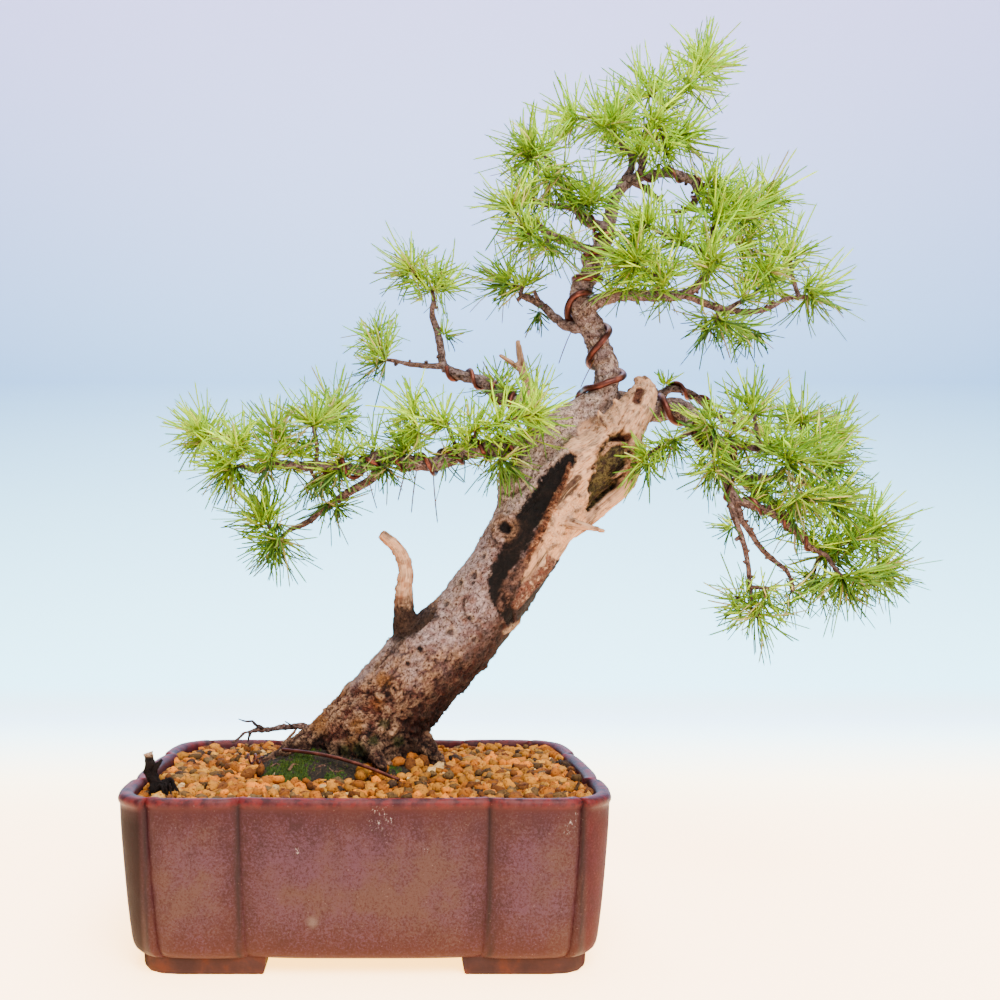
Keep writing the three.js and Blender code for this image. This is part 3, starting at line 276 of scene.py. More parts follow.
# %% Mesh helpers
def new_mesh(name, points, faces, tints=None, smooth=True):
    """An object at the origin, whose points are given in metres."""
    mesh = bpy.data.meshes.new(name)
    mesh.from_pydata([tuple(p) for p in points], [], faces)
    mesh.validate()
    if smooth:
        mesh.shade_smooth()
    thing = bpy.data.objects.new(name, mesh)
    bpy.context.scene.collection.objects.link(thing)
    if tints:
        paint(thing, "tint", tints)
    return thing


def paint(thing, name, rows, kind="FLOAT_COLOR"):
    """Gives every point of a mesh a colour, or with FLOAT_VECTOR a place."""
    layer = thing.data.attributes.new(name, kind, "POINT")
    field = "color" if kind == "FLOAT_COLOR" else "vector"
    layer.data.foreach_set(field, [part for row in rows for part in row])


def select_only(*things):
    bpy.ops.object.select_all(action="DESELECT")
    for thing in things:
        thing.select_set(True)
    bpy.context.view_layer.objects.active = things[0]


def join(name, things):
    """Joins meshes into one object with a new name."""
    select_only(*things)
    if len(things) > 1:
        bpy.ops.object.join()
    thing = bpy.context.view_layer.objects.active
    thing.name = name
    return thing


def use(thing, finish, slot, *nodes):
    """Gives a finished piece its material and its body, and hides the imported nodes that it stands for."""
    thing.data.materials.clear()
    thing.data.materials.append(finish.material)
    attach(thing, "root")
    if nodes:
        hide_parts(*nodes)
    faces = sum(len(p.vertices) - 2 for p in thing.data.polygons)
    print(thing.name, "triangles:", faces)


def raise_rings(name, rings):
    """A closed form: a disc of points is extruded from ring to ring. Points are in metres."""
    bpy.ops.mesh.primitive_circle_add(vertices=len(rings[0]), radius=1, fill_type="TRIFAN")
    thing = bpy.context.object
    thing.name = name
    bpy.ops.object.transform_apply()
    bpy.ops.object.mode_set(mode="EDIT")
    sheet = bmesh.from_edit_mesh(thing.data)
    sheet.verts.ensure_lookup_table()
    rim = [v for v in sheet.verts if len(v.link_edges) == 3]
    rim.sort(key=lambda v: math.atan2(v.co.y, v.co.x) % (2 * math.pi))
    hub = next(v for v in sheet.verts if len(v.link_edges) > 3)
    for vertex, point in zip(rim, rings[0]):
        vertex.co = point
    hub.co = sum(rings[0], Vector()) / len(rings[0])
    bmesh.update_edit_mesh(thing.data)
    bpy.ops.mesh.select_all(action="SELECT")
    for before, ring in zip(rings, rings[1:]):
        bpy.ops.mesh.extrude_region_move()
        sheet = bmesh.from_edit_mesh(thing.data)
        where = {tuple(round(c, 7) for c in p): q for p, q in zip(before, ring)}
        middle = sum(ring, Vector()) / len(ring)
        for vertex in sheet.verts:
            if vertex.select:
                key = tuple(round(c, 7) for c in vertex.co)
                vertex.co = where.get(key, middle)
        bmesh.update_edit_mesh(thing.data)
    bpy.ops.mesh.select_all(action="SELECT")
    bpy.ops.mesh.normals_make_consistent(inside=False)
    bpy.ops.object.mode_set(mode="OBJECT")
    thing.data.shade_smooth()
    return thing


# %% [markdown]
# ## Routes
# A trunk, a branch, a root and a wire are all a line with a thickness. Each is a row of points
# (x, y, z, radius), and a smooth curve runs through them. The curve is the centripetal kind,
# which makes no loops where the points are uneven.


# %% Routes
def glide(points, step=2.0):
    """Points on the smooth curve through a route, about step mm apart: [place, radius]."""
    spots = [Vector(p[:3]) for p in points]
    ends = [spots[0] * 2 - spots[1], *spots, spots[-1] * 2 - spots[-2]]
    path = []
    for k in range(len(spots) - 1):
        p0, p1, p2, p3 = ends[k : k + 4]
        d0, d1, d2 = (max((b - a).length, 1e-6) ** 0.5 for a, b in ((p0, p1), (p1, p2), (p2, p3)))
        leave = ((p1 - p0) / d0 - (p2 - p0) / (d0 + d1) + (p2 - p1) / d1) * d1
        arrive = ((p2 - p1) / d1 - (p3 - p1) / (d1 + d2) + (p3 - p2) / d2) * d1
        pieces = max(2, round((p2 - p1).length / step))
        for i in range(pieces):
            t = i / pieces
            a, b, c, d = 2 * t**3 - 3 * t**2 + 1, t**3 - 2 * t**2 + t, -2 * t**3 + 3 * t**2, t**3 - t**2
            spot = p1 * a + leave * b + p2 * c + arrive * d
            path.append((spot, points[k][3] * (1 - t) + points[k + 1][3] * t))
    path.append((spots[-1], points[-1][3]))
    return path


def frames(path):
    """The path with a frame that doesn't twist: (place, radius, along, across, other)."""
    side = Vector((0, 1, 0.001))
    framed = []
    for i, (spot, radius) in enumerate(path):
        along = (path[min(i + 1, len(path) - 1)][0] - path[max(i - 1, 0)][0]).normalized()
        side = (side - along * side.dot(along)).normalized()
        framed.append((spot, radius, along, side, along.cross(side)))
    return framed


def tube(name, path, sides=10, wobble=0.0, seed=0.0):
    """A limb as a curve with a round bevel, made a mesh. wobble makes it knobbly."""
    curve = bpy.data.curves.new(name, "CURVE")
    curve.dimensions = "3D"
    curve.bevel_depth = MM
    curve.bevel_resolution = (sides - 4) // 2
    curve.use_fill_caps = True
    line = curve.splines.new("POLY")
    line.points.add(len(path) - 1)
    for point, (spot, radius) in zip(line.points, path):
        point.co = (*place(*spot), 1)
        point.radius = radius
    thing = bpy.data.objects.new(name, curve)
    bpy.context.scene.collection.objects.link(thing)
    select_only(thing)
    bpy.ops.object.convert(target="MESH")
    thing = bpy.context.object
    if wobble:
        swell(thing, path, wobble, seed)
    return thing


def swell(thing, path, wobble, seed):
    """Pushes a limb's points in and out from its middle line, as bark and old scars do."""
    line = spot_tree([spot for spot, _ in path])
    for vertex in thing.data.vertices:
        here = measured(vertex.co)
        spot, i, _ = line.find(here)
        radius = path[i][1]
        lump = noise.noise((here * 0.28) + Vector((seed, 0, 0)))
        grain = noise.noise((here * 1.1) + Vector((0, seed, 0)))
        vertex.co += (here - spot) * MM * wobble * (lump * 1.1 + grain * 0.55 + 0.05) * min(1, radius)
# %% [markdown]
# ## The tree's routes
# These are the same routes that the solid tree is built from, so every fine piece lies where
# the solid piece is. First the thick old wood: the trunk leans to the right and ends in dead
# wood, and the living vein leaves it half way and carries the crown.

# %% Tables of wood and sprays
trunk = [
    (-2, 5, 72, 26), (-2, 5, 88, 28), (0, 5, 100, 28.5), (10, 5, 116, 25.5), (24, 4, 133, 25),
    (37, 4, 147, 25), (55, 3, 165, 22.5), (77, 2, 195, 21.5), (92, 1, 220, 22.5), (104, 0, 238, 21),
]
deadwood = [
    (93, 0, 224, 19), (111, -2, 247, 20), (132, -4, 262, 16), (142, -5, 276, 12.5), (150, -5, 288, 9.5),
    (154, -4, 297, 6), (151, -4, 302, 3),
]
living = [
    (79, 2, 206, 9), (89, 2, 241, 16), (96, 2, 256, 15), (102, 2, 269, 12.5), (111, 3, 277, 11),
    (122, 4, 285, 9), (130, 4, 291, 8), (134, 3, 300, 7.2),
]
leader = [
    (134, 3, 300, 7.2), (134, 3, 309, 6.8), (130, 3, 319, 6.5), (125, 3, 333, 6.5), (119, 3, 344, 6.2),
    (119, 3, 352, 5.8), (124, 2, 361, 5.2), (128, 2, 371, 4.8), (133, 1, 382, 4.2), (135, 0, 391, 4),
    (137, 0, 401, 3.4), (141, 0, 409, 3), (146, 0, 417, 2.6),
]
roots = {
    "left": [(5, 4, 122, 15), (-18, 2, 106, 12), (-34, -2, 98, 8), (-48, -6, 92, 4.5), (-62, -10, 86, 2.5)],
    "front": [(6, -4, 114, 13), (2, -20, 103, 8), (5, -30, 96, 4), (9, -37, 91, 2.5)],
    "right": [(14, 4, 112, 13), (26, 0, 101, 9), (36, -4, 92, 4.5), (43, -6, 85, 2.5)],
    "back": [(0, 10, 112, 13), (-4, 28, 100, 8), (-8, 42, 91, 4), (-10, 50, 84, 2.5)],
}
dead_stubs = {
    "stub": [
        (21, 0, 160, 7), (20, -2, 173, 6), (20, -3, 185, 5), (21, -3, 195, 4.4), (17, -3, 207, 3.9),
        (7, -3, 216, 3),
    ],
    "fork": [(95, 8, 272, 6), (95, 12, 286, 4), (91, 12, 299, 3.2), (88, 12, 310, 2.6), (85, 12, 327, 1.6)],
    "forkLeft": [(88, 12, 309, 2), (81, 11, 314, 1.6), (74, 10, 318, 1.1)],
    "knot": [(104, -8, 223, 5), (113, -20, 220, 2.8), (120, -25, 218, 1.8)],
    "deadTwig": [(99, 19, 348, 1.6), (95, 16, 356, 1)],
}
branches = {
    "leftMain": [
        (96, 0, 268, 9), (76, -5, 264, 5.2), (53, -9, 261, 4.6), (39, -12, 254, 4.2), (24, -14, 254, 3.8),
        (7, -12, 258, 3.5), (-5, -8, 251, 3.2), (-14, -5, 253, 3), (-37, 0, 254, 2.6), (-53, 4, 255, 2.3),
        (-62, 6, 252, 2), (-72, 8, 255, 1.6),
    ],
    "leftDown": [
        (11, -13, 256, 3), (3, -4, 247, 2.6), (-14, 8, 238, 2.3), (-28, 16, 229, 2), (-36, 20, 223, 1.8),
        (-46, 22, 219, 1.5),
    ],
    "upperLeft": [
        (98, 4, 278, 8), (87, 10, 288, 4.6), (80, 16, 294, 4), (72, 20, 299, 3.6), (68, 22, 304, 3.4),
        (61, 24, 307, 3.1), (52, 26, 310, 2.9), (44, 28, 315, 2.6), (42, 28, 325, 2.4), (40, 30, 336, 2.1),
        (37, 30, 346, 1.8), (38, 32, 354, 1.5),
    ],
    "upperLeftTwig": [(45, 28, 315, 2), (34, 26, 315, 1.7), (24, 22, 315, 1.5), (16, 18, 316, 1.2)],
    "crownA": [
        (134, 1, 387, 3.4), (123, -4, 388, 2.8), (117, -8, 392, 2.5), (113, -12, 396, 2.3),
        (109, -15, 402, 2.1), (104, -17, 406, 1.9), (102, -18, 411, 1.6), (99, -19, 414, 1.4),
    ],
    "crownB": [(114, -10, 394, 1.8), (106, 0, 399, 1.6), (99, 9, 403, 1.2)],
    "crownC": [
        (129, 2, 374, 3), (114, -10, 374, 2.4), (101, -18, 376, 2.1), (95, -22, 378, 1.9),
        (89, -26, 381, 1.6), (83, -29, 384, 1.2),
    ],
    "crownD": [
        (122, 3, 332, 4), (113, 8, 334, 2.9), (107, 12, 339, 2.6), (100, 18, 348, 2.3), (93, 22, 353, 2),
        (88, 25, 356, 1.6),
    ],
    "topLeft": [
        (145, 0, 415, 2.4), (148, 2, 424, 2.1), (147, 4, 431, 1.9), (142, 6, 438, 1.6), (139, 6, 442, 1.3),
    ],
    "topRight": [
        (142, 0, 410, 2.8), (151, -3, 416, 2.3), (153, -4, 426, 2.1), (153, -5, 433, 1.9),
        (155, -6, 441, 1.8), (161, -7, 447, 1.6), (167, -8, 452, 1.4), (171, -9, 456, 1.2),
    ],
    "topSide": [(153, -5, 432, 1.6), (162, -7, 435, 1.3), (167, -7, 434, 1)],
    "loop": [
        (140, 0, 407, 3), (146, -3, 412, 2.7), (153, -7, 413, 2.6), (162, -11, 413, 2.5),
        (171, -13, 411, 2.4), (178, -12, 408, 2.3), (182, -8, 403, 2.1), (181, -3, 400, 1.8),
        (177, 3, 397, 1.5), (171, 8, 397, 1.1),
    ],
    "behind": [(147, 2, 414, 2), (158, 10, 412, 1.6), (168, 18, 408, 1.2)],
    "crownRight": [
        (122, 2, 337, 5), (125, -4, 343, 3.8), (136, -11, 346, 3.4), (147, -15, 345, 3.1),
        (159, -17, 344, 2.9), (172, -18, 345, 2.6), (181, -18, 352, 2.3), (185, -18, 361, 2),
        (187, -16, 372, 1.7), (189, -14, 384, 1.3),
    ],
    "crownRightLow": [
        (173, -17, 345, 2.3), (186, -12, 341, 2.1), (200, -6, 339, 1.9), (215, 0, 340, 1.7),
        (225, 4, 343, 1.5), (236, 8, 349, 1.3), (245, 11, 351, 1),
    ],
    "crownRightBack": [(130, 3, 375, 2.8), (141, 12, 377, 2.2), (152, 20, 377, 1.8), (162, 27, 376, 1.3)],
    "crownRightMid": [(199, -6, 340, 1.6), (212, 4, 348, 1.4), (224, 14, 356, 1.1)],
    "bough": [
        (118, 6, 281, 9), (134, 14, 291, 7.5), (151, 21, 291, 6.8), (165, 18, 287, 6.4), (173, 12, 288, 6),
        (180, 5, 284, 5.4), (183, -1, 275, 4.8), (193, -8, 266, 4), (199, -6, 258, 3.6), (209, 1, 247, 3.2),
        (219, 5, 240, 2.8), (229, 8, 233, 2.5), (246, 12, 217, 2), (259, 11, 206, 1.5),
    ],
    "boughUpper": [
        (191, -7, 267, 3), (203, -10, 264, 2.6), (217, -8, 263, 2.2), (233, -2, 267, 1.9), (247, 4, 267, 1.5),
        (257, 8, 266, 1.1),
    ],
    "boughFront": [
        (198, -7, 256, 3), (196, -14, 244, 2.6), (200, -17, 234, 2.4), (210, -19, 230, 2.2),
        (218, -18, 227, 2), (234, -14, 216, 1.7), (243, -11, 208, 1.4), (252, -9, 204, 1.1),
    ],
    "hanging": [
        (197, -16, 241, 2), (197, -19, 228, 1.8), (200, -20, 219, 1.7), (203, -20, 210, 1.6),
        (205, -20, 201, 1.5), (207, -18, 188, 1.3), (209, -17, 177, 1.1),
    ],
    "hangingTwo": [
        (200, -17, 234, 2), (204, -14, 223, 1.8), (209, -12, 217, 1.7), (214, -10, 210, 1.6),
        (222, -9, 202, 1.5), (230, -8, 196, 1.3), (233, -8, 191, 1),
    ],
    "thinUpper": [
        (150, 20, 292, 3.4), (160, 26, 297, 2.8), (168, 26, 298, 2.5), (177, 24, 301, 2.3),
        (186, 24, 299, 2.1), (194, 26, 294, 2), (202, 29, 288, 1.8), (216, 34, 282, 1.4), (231, 38, 277, 1),
    ],
    "backTwig": [(209, 1, 247, 2.2), (231, 20, 249, 1.8), (252, 34, 249, 1.4), (267, 42, 245, 1)],
}
sprays = {
    "left_tip": [
        ((-78, 6, 254), (-1, -0.3, -0.7), 14, 24), ((-93, 12, 273), (-1, 0.2, 0.7), 17, 25),
        ((-70, -8, 265), (-0.2, -1, 0.8), 10, 21),
    ],
    "left_upright": [((-53, -8, 257), (-0.3, -1, -0.2), 9, 20), ((-51, -2, 271), (0, 0.1, 1), 14, 24)],
    "left_mid": [((-30, -10, 276), (0, -0.4, 1), 13, 24), ((-18, 8, 284), (0.2, 0.7, 1), 13, 24)],
    "left_droop": [((-30, 12, 248), (0.1, 0.6, -1), 11, 22)],
    "left_hang": [((-53, 22, 212), (-0.3, -0.1, -1), 20, 27), ((-61, 18, 225), (-0.6, -0.2, 0.8), 13, 25)],
    "upper_left_top": [
        ((37, 32, 361), (-0.4, -0.4, 0.8), 9, 18), ((24, 30, 373), (-0.7, -0.1, 0.9), 17, 24),
        ((45, 35, 363), (0.7, -0.2, 0.8), 13, 24),
    ],
    "upper_left_star": [((9, 15, 316), (-1, -0.3, 0.3), 17, 26), ((5, 20, 333), (0, 0.8, 0.8), 9, 20)],
    "centre_shoot": [((43, -18, 275), (-0.4, -0.6, 0.6), 9, 20), ((25, -22, 279), (-1, -0.3, 0.4), 15, 25)],
    "centre_long": [
        ((58, -20, 271), (0, -0.8, 0.5), 9, 18), ((71, -24, 274), (0.1, -0.9, 0.4), 10, 20),
        ((90, -26, 279), (0.9, -0.4, 0.5), 14, 24),
    ],
    "centre_hang": [((73, -14, 255), (0.2, -0.4, -1), 12, 22)],
    "centre_back": [((77, 36, 305), (0, 0.7, 1), 11, 20)],
    "left_back": [((20, 2, 267), (-0.1, 0.8, 0.6), 12, 22)],
    "crown_left_tip": [
        ((96, -16, 422), (0, 0.3, 1), 12, 23), ((86, -22, 418), (-1, -0.3, 0.3), 15, 25),
        ((99, -26, 404), (-0.2, -0.8, -0.7), 11, 22),
    ],
    "crown_left_inner": [((122, -14, 397), (0.2, -0.6, 1), 15, 26)],
    "crown_left_back": [((93, 14, 409), (-1, 0.5, 0.3), 15, 25)],
    "crown_left_front": [
        ((97, -28, 368), (0.1, -0.4, -1), 11, 22), ((85, -33, 372), (-0.5, -0.5, -0.8), 10, 20),
        ((76, -32, 388), (-1, -0.5, 0.1), 12, 22),
    ],
    "side_branch_tip": [((90, 24, 361), (0.1, 0, 1), 10, 21), ((80, 29, 364), (-1, 0.4, 0.4), 14, 24)],
    "top_tip": [((176, -11, 460), (0.6, -0.8, 0), 9, 22), ((187, -6, 474), (0.6, -0.1, 1), 18, 26)],
    "top_mid": [((158, 4, 463), (-0.4, 0.5, 1), 16, 26)],
    "top_front": [((156, -17, 439), (0.2, -1, 0.3), 10, 22), ((162, -16, 423), (0.4, -0.9, -0.5), 9, 20)],
    "top_left": [
        ((133, 4, 447), (-0.3, -0.6, 0.8), 18, 26), ((145, 13, 452), (0.3, 0.9, 0.8), 11, 24),
        ((116, 9, 451), (-1, 0.2, 0.3), 13, 24),
    ],
    "top_right": [((173, -8, 435), (1, -0.2, 0.1), 15, 24)],
    "loop_tip": [((186, -15, 406), (1, -0.3, 0.5), 12, 22)],
    "top_back": [((152, 19, 438), (0, 1, 0.3), 13, 24)],
    "crown_right_shoot": [
        ((168, -24, 371), (-0.4, -0.7, 0.6), 9, 20), ((148, -30, 379), (-1, -0.4, 0.5), 15, 24),
    ],
    "crown_right_big": [
        ((156, -27, 351), (-0.3, -0.8, 0.2), 9, 22), ((142, -30, 359), (-1, -0.5, 0.2), 18, 27),
    ],
    "crown_right_star": [((180, -30, 357), (-0.1, -1, 0), 14, 25)],
    "crown_right_up": [
        ((191, -12, 394), (0.1, -0.2, 1), 15, 25), ((202, -14, 388), (0.4, -0.6, 0.8), 11, 22),
        ((217, -8, 397), (1, -0.1, 0.6), 16, 26),
    ],
    "crown_right_mid": [
        ((206, -8, 375), (0.7, -0.5, 0.1), 12, 24), ((222, -4, 362), (0.3, -0.5, 0.8), 12, 23),
    ],
    "crown_right_tip_up": [((240, 12, 375), (0.4, 0.1, 1), 16, 25)],
    "crown_right_tip": [((252, 12, 352), (1, 0.1, -0.4), 17, 26)],
    "crown_right_under": [
        ((191, -11, 333), (-0.2, -0.4, -1), 12, 24), ((213, 3, 331), (0.1, 0.3, -1), 9, 20),
    ],
    "crown_right_back": [((168, 33, 377), (0.2, 1, 0.2), 13, 24)],
    "crown_right_deep": [((231, 20, 361), (0.3, 1, 0.2), 12, 24)],
    "bough_inner": [((168, -8, 267), (-0.5, -0.5, -0.8), 9, 20), ((151, -16, 257), (-1, -0.3, -0.5), 10, 20)],
    "bough_left": [((187, -17, 273), (-1, -0.6, -0.1), 11, 24), ((188, -20, 251), (-0.3, -0.5, -1), 10, 21)],
    "bough_up": [((214, -4, 283), (0.1, -0.3, 1), 15, 24)],
    "bough_up_two": [((244, 6, 280), (0, 0.1, 1), 15, 25), ((265, 10, 271), (1, 0.2, 0.4), 13, 23)],
    "bough_star": [((228, -18, 257), (-0.1, -1, 0), 17, 27), ((250, -9, 253), (1, -0.6, -0.1), 14, 26)],
    "bough_fringe": [
        ((233, -22, 234), (0.1, -0.8, -0.8), 12, 24), ((254, -13, 232), (0.6, -0.8, 0.1), 15, 26),
    ],
    "bough_tip": [
        ((268, -2, 212), (0.3, -0.9, 0.3), 10, 22), ((283, 4, 220), (0.8, 0, 0.9), 15, 25),
        ((285, 0, 197), (1, -0.2, -0.7), 17, 27),
    ],
    "bough_low": [((259, -13, 192), (-0.1, -0.5, -1), 18, 28)],
    "bough_under": [((254, 14, 190), (-0.2, 0.7, -0.8), 12, 24)],
    "bough_back": [((274, 46, 244), (0.6, 1, 0.2), 13, 25)],
    "bough_back_up": [((237, 43, 277), (0.1, 1, 0.6), 13, 24)],
    "hanging_tip": [
        ((213, -26, 186), (0.4, -0.9, 0.2), 7, 20), ((211, -18, 171), (0.6, -0.4, -1), 17, 27),
        ((202, -14, 180), (-1, -0.3, 0.3), 12, 23),
    ],
    "hanging_right": [((234, -8, 184), (0.4, -0.5, -0.8), 12, 23)],
}
# %% [markdown]
# ## The pot
# The real pot is thrown or pressed stoneware. Seen from above it is a rectangle whose sides are
# drawn in at fine creases, so that flat panels and round corner lobes meet. Its outline could be
# a bezier curve, but a crease is sharper than a curve likes, so the outline is worked out point
# by point, and a disc with that outline is extruded ring by ring up the outside, over the lip
# and down the inside.

# %% Pot outline
HALF_WIDTH, HALF_DEPTH = 122, 88.5
NEAR_CREASE, FAR_CREASE, SIDE_CREASE = 60, 104, 37.5
DIP, BULGE = 2, 3
LOBE_RADIUS = 25


def panel(start, end, steps):
    """One face of the pot from crease to crease: nearly flat, steep only at its two edges."""
    (x0, y0), (x1, y1) = start, end
    length = math.hypot(x1 - x0, y1 - y0)
    out = ((y1 - y0) / length, (x0 - x1) / length)
    points = []
    for i in range(steps):
        t = 0.5 - 0.5 * math.cos(math.pi * i / steps)
        edge = min(t, 1 - t) * length
        push = BULGE * (1 - (2 * t - 1) ** 4) - 0.7 * bell(edge, 1.3)
        points.append((x0 + (x1 - x0) * t + out[0] * push, y0 + (y1 - y0) * t + out[1] * push))
    return points


def lobe(sx, sy):
    """A round corner, from the crease beside it on the long side to the one on the short side."""
    cx, cy = HALF_WIDTH - LOBE_RADIUS - 0.5, HALF_DEPTH - LOBE_RADIUS + 1.5
    guide = [(FAR_CREASE, HALF_DEPTH - DIP - 0.7)]
    for degrees in (24, 44, 66, 90):
        a = math.radians(degrees)
        guide.append((cx + LOBE_RADIUS * math.sin(a), cy + LOBE_RADIUS * math.cos(a)))
    guide.append((HALF_WIDTH + 0.6, (cy + SIDE_CREASE) / 2))
    guide.append((HALF_WIDTH, SIDE_CREASE + 3))
    guide.append((HALF_WIDTH - DIP - 0.7, SIDE_CREASE))
    path = glide([(x * sx, y * sy, 0, 1) for x, y in guide], 1.8)
    points = [(spot.x, spot.y) for spot, _ in path]
    return points[:-1] if sx * sy < 0 else points[::-1][:-1]


def pot_outline():
    front, side = HALF_DEPTH - DIP, HALF_WIDTH - DIP
    return [
        *lobe(-1, -1),
        *panel((-FAR_CREASE, -front), (-NEAR_CREASE, -front), 16),
        *panel((-NEAR_CREASE, -front), (NEAR_CREASE, -front), 30),
        *panel((NEAR_CREASE, -front), (FAR_CREASE, -front), 16),
        *lobe(1, -1),
        *panel((side, -SIDE_CREASE), (side, SIDE_CREASE), 22),
        *lobe(1, 1),
        *panel((FAR_CREASE, front), (NEAR_CREASE, front), 16),
        *panel((NEAR_CREASE, front), (-NEAR_CREASE, front), 30),
        *panel((-NEAR_CREASE, front), (-FAR_CREASE, front), 16),
        *lobe(-1, 1),
        *panel((-side, SIDE_CREASE), (-side, -SIDE_CREASE), 22),
    ]


outline = pot_outline()
print("points round the pot:", len(outline))

# %% [markdown]
# The wall leans in towards the foot, has a low bead under the lip, and is rounded over at the
# top, where a wet sponge went round. Each pair below is how far in from the outline, and how
# high.

# %% Pot body
WALL_PROFILE = [
    (40, 8), (14, 8), (10.2, 8.3), (8.2, 9.1), (7, 10.6), (6.2, 12.6), (5.6, 15.5), (4.6, 24),
    (3.7, 33), (2.8, 44), (2, 55), (1.3, 65), (0.8, 74), (0.6, 80), (0.55, 81.8), (0.2, 82.6),
    (-0.2, 83.6), (-0.25, 84.8), (0.15, 86), (1.1, 86.8), (2.4, 87), (3.9, 87), (5.2, 86.6),
    (6.1, 85.7), (6.5, 84), (6.8, 80), (9, 62), (13, 36), (16.5, 16), (40, 16),
]


def pot_ring(inset, z):
    across, deep = 1 - inset / HALF_WIDTH, 1 - inset / HALF_DEPTH
    return [place(x * across, y * deep, z) for x, y in outline]


pot = raise_rings("pot_body", [pot_ring(inset, z) for inset, z in WALL_PROFILE])

# %% [markdown]
# The feet are low L-shaped pads under the four corners, cut from a slab and smoothed with a
# finger. Two round holes let the water out: they are cut with a Boolean modifier, because a hole
# through a wall is exactly what it is for.

# %% Feet and drain holes
FOOT = [
    (48, 64), (70, 64), (96, 64), (96, 47), (96, 30), (110, 30), (110, 45), (110, 58),
    (108.75, 66.75), (105, 73), (98.75, 76.75), (90, 78), (70, 78), (48, 78),
]
DRAIN_X, DRAIN_RADIUS = 52, 9


def foot(sx, sy):
    rings = []
    for z, grow in ((0, 0.965), (0.8, 0.985), (2.5, 1), (8, 1.012), (11, 1.012)):
        ring = [place(sx * (82 + (x - 82) * grow), sy * (62 + (y - 62) * grow), z) for x, y in FOOT]
        rings.append(ring if sx * sy > 0 else ring[::-1])
    return raise_rings("foot", rings)


def drain(x):
    bpy.ops.mesh.primitive_cylinder_add(
        vertices=40, radius=DRAIN_RADIUS * MM, depth=30 * MM, location=place(x, 0, 12)
    )
    return bpy.context.object


for x in (-DRAIN_X, DRAIN_X):
    cutter = drain(x)
    cut = pot.modifiers.new("drain", "BOOLEAN")
    cut.object = cutter
    cut.solver = "EXACT"
    select_only(pot)
    bpy.ops.object.modifier_apply(modifier="drain")
    bpy.data.objects.remove(cutter)
feet = [foot(sx, sy) for sx in (-1, 1) for sy in (-1, 1)]
pot = join("pot_glazed", [pot, *feet])
select_only(pot)
bpy.ops.object.shade_smooth_by_angle(angle=math.radians(50))

# %% [markdown]
# ## The glaze
# A red-brown iron glaze under a veil of fine grey and tan specks. The veil is thick in the
# middle of each panel and thin at the lip, the creases and the foot, where the dark red shows.
# How far a point is from those places is painted on the mesh first, so that the shader only has
# to read it. Scuffs and chalk marks are set where they are seen. Light and shade are painted in
# too: a dark line in each crease as painted shade, a lighter pink on the top of the lip as a
# painted highlight, and the left lobe darker and the right lobe lighter, as painted light from
# the right.

# %% Glaze marks
CREASES = [(sx * x, sy * HALF_DEPTH) for x in (NEAR_CREASE, FAR_CREASE) for sx in (1, -1) for sy in (1, -1)]
CREASES += [(sx * HALF_WIDTH, sy * SIDE_CREASE) for sx in (1, -1) for sy in (1, -1)]


FOOT_TOP = 8.2


def glaze_marks(thing):
    """marks: near crease (painted shade), lip, top edge (red, painted highlight). veil: mid panel, low wall,
    foot.
    """
    colours, veils = [], []
    for vertex in thing.data.vertices:
        here = measured(vertex.co)
        near = 20.0
        for x, y in CREASES:
            across = abs(here.x - x) if abs(y) > 80 else abs(here.y - y)
            beside = abs(here.y - y) if abs(y) > 80 else abs(here.x - x)
            if beside < 16:
                near = min(near, across)
        crease = bell(near, 1.1) if 8 < here.z < 87.5 else 0
        lip = clamp((here.z - 79) / 3)
        edge = 1.0 if here.z > 86.9 else max(0, 1 - (87 - here.z) / 5) * 0.45
        colours.append((crease, lip, edge, 1))
        mid = min(1, near / 14) * clamp((78 - here.z) / 16) * clamp((here.z - 12) / 22)
        mid *= 0.3 if here.x < -FAR_CREASE else 0.7 if here.x > FAR_CREASE else 1
        veils.append((mid, clamp((30 - here.z) / 18), 1.0 if here.z < FOOT_TOP else 0.0, 1))
    paint(thing, "marks", colours)
    paint(thing, "veil", veils)


glaze_marks(pot)


def channels(finish, name):
    """The three numbers painted under a name."""
    split = finish.node("ShaderNodeSeparateColor", inputs={"Color": finish.painted(name)})
    return [Value(finish, split.socket.node.outputs[i]) for i in range(3)]


def beside(finish, px, py, radius, y=-88):
    """1 at a place that a pixel shows, 0 from radius mm on."""
    x, z = seen(px, py, y)
    inputs = {0: finish.place, 1: place(x, y, z)}
    gap = finish.node("ShaderNodeVectorMath", {"operation": "DISTANCE"}, inputs, "Value")
    return 1 - gap.between(radius * 0.3 * MM, radius * MM)


# %% Glaze
CHALK = [
    (379, 815, 7), (376, 824, 5), (394, 817, 4), (575, 822, 6), (568, 830, 3), (297, 850, 3),
    (425, 850, 2.5), (190, 958, 5),
]
glaze = Finish("glazed_stoneware", roughness=0.3, specular=0.12)
crease, lip, edge = channels(glaze, "marks")
mid, low, foot_part = channels(glaze, "veil")
clouds = glaze.noise(26, 4, 0.6)
drift = glaze.noise(7, 4, 0.6, stretch=(1, 1, 0.5))
speck = glaze.noise(1.2, 5, 0.85)
fleck = glaze.noise(0.7, 2, 0.6)
lines = glaze.noise(2.2, 3, 0.6, stretch=(0.06, 0.06, 1))
base = glaze.ramp(
    clouds * 0.6 + drift * 0.4,
    (0.36, shade(34, 10, 16)), (0.48, shade(40, 12, 16)), (0.6, shade(46, 16, 15)),
)
base = glaze.mix(base, shade(51, 19, 14), low * 0.75)
veil = glaze.ramp(clouds, (0.4, shade(63, 39, 52)), (0.52, shade(61, 39, 46)), (0.62, shade(61, 42, 40)))
thick = mid * 0.12 + drift * 0.12 + clouds * 0.12 + lines * 0.06
base = glaze.mix(base, veil, (speck + thick).between(0.61, 0.84) * 0.85)
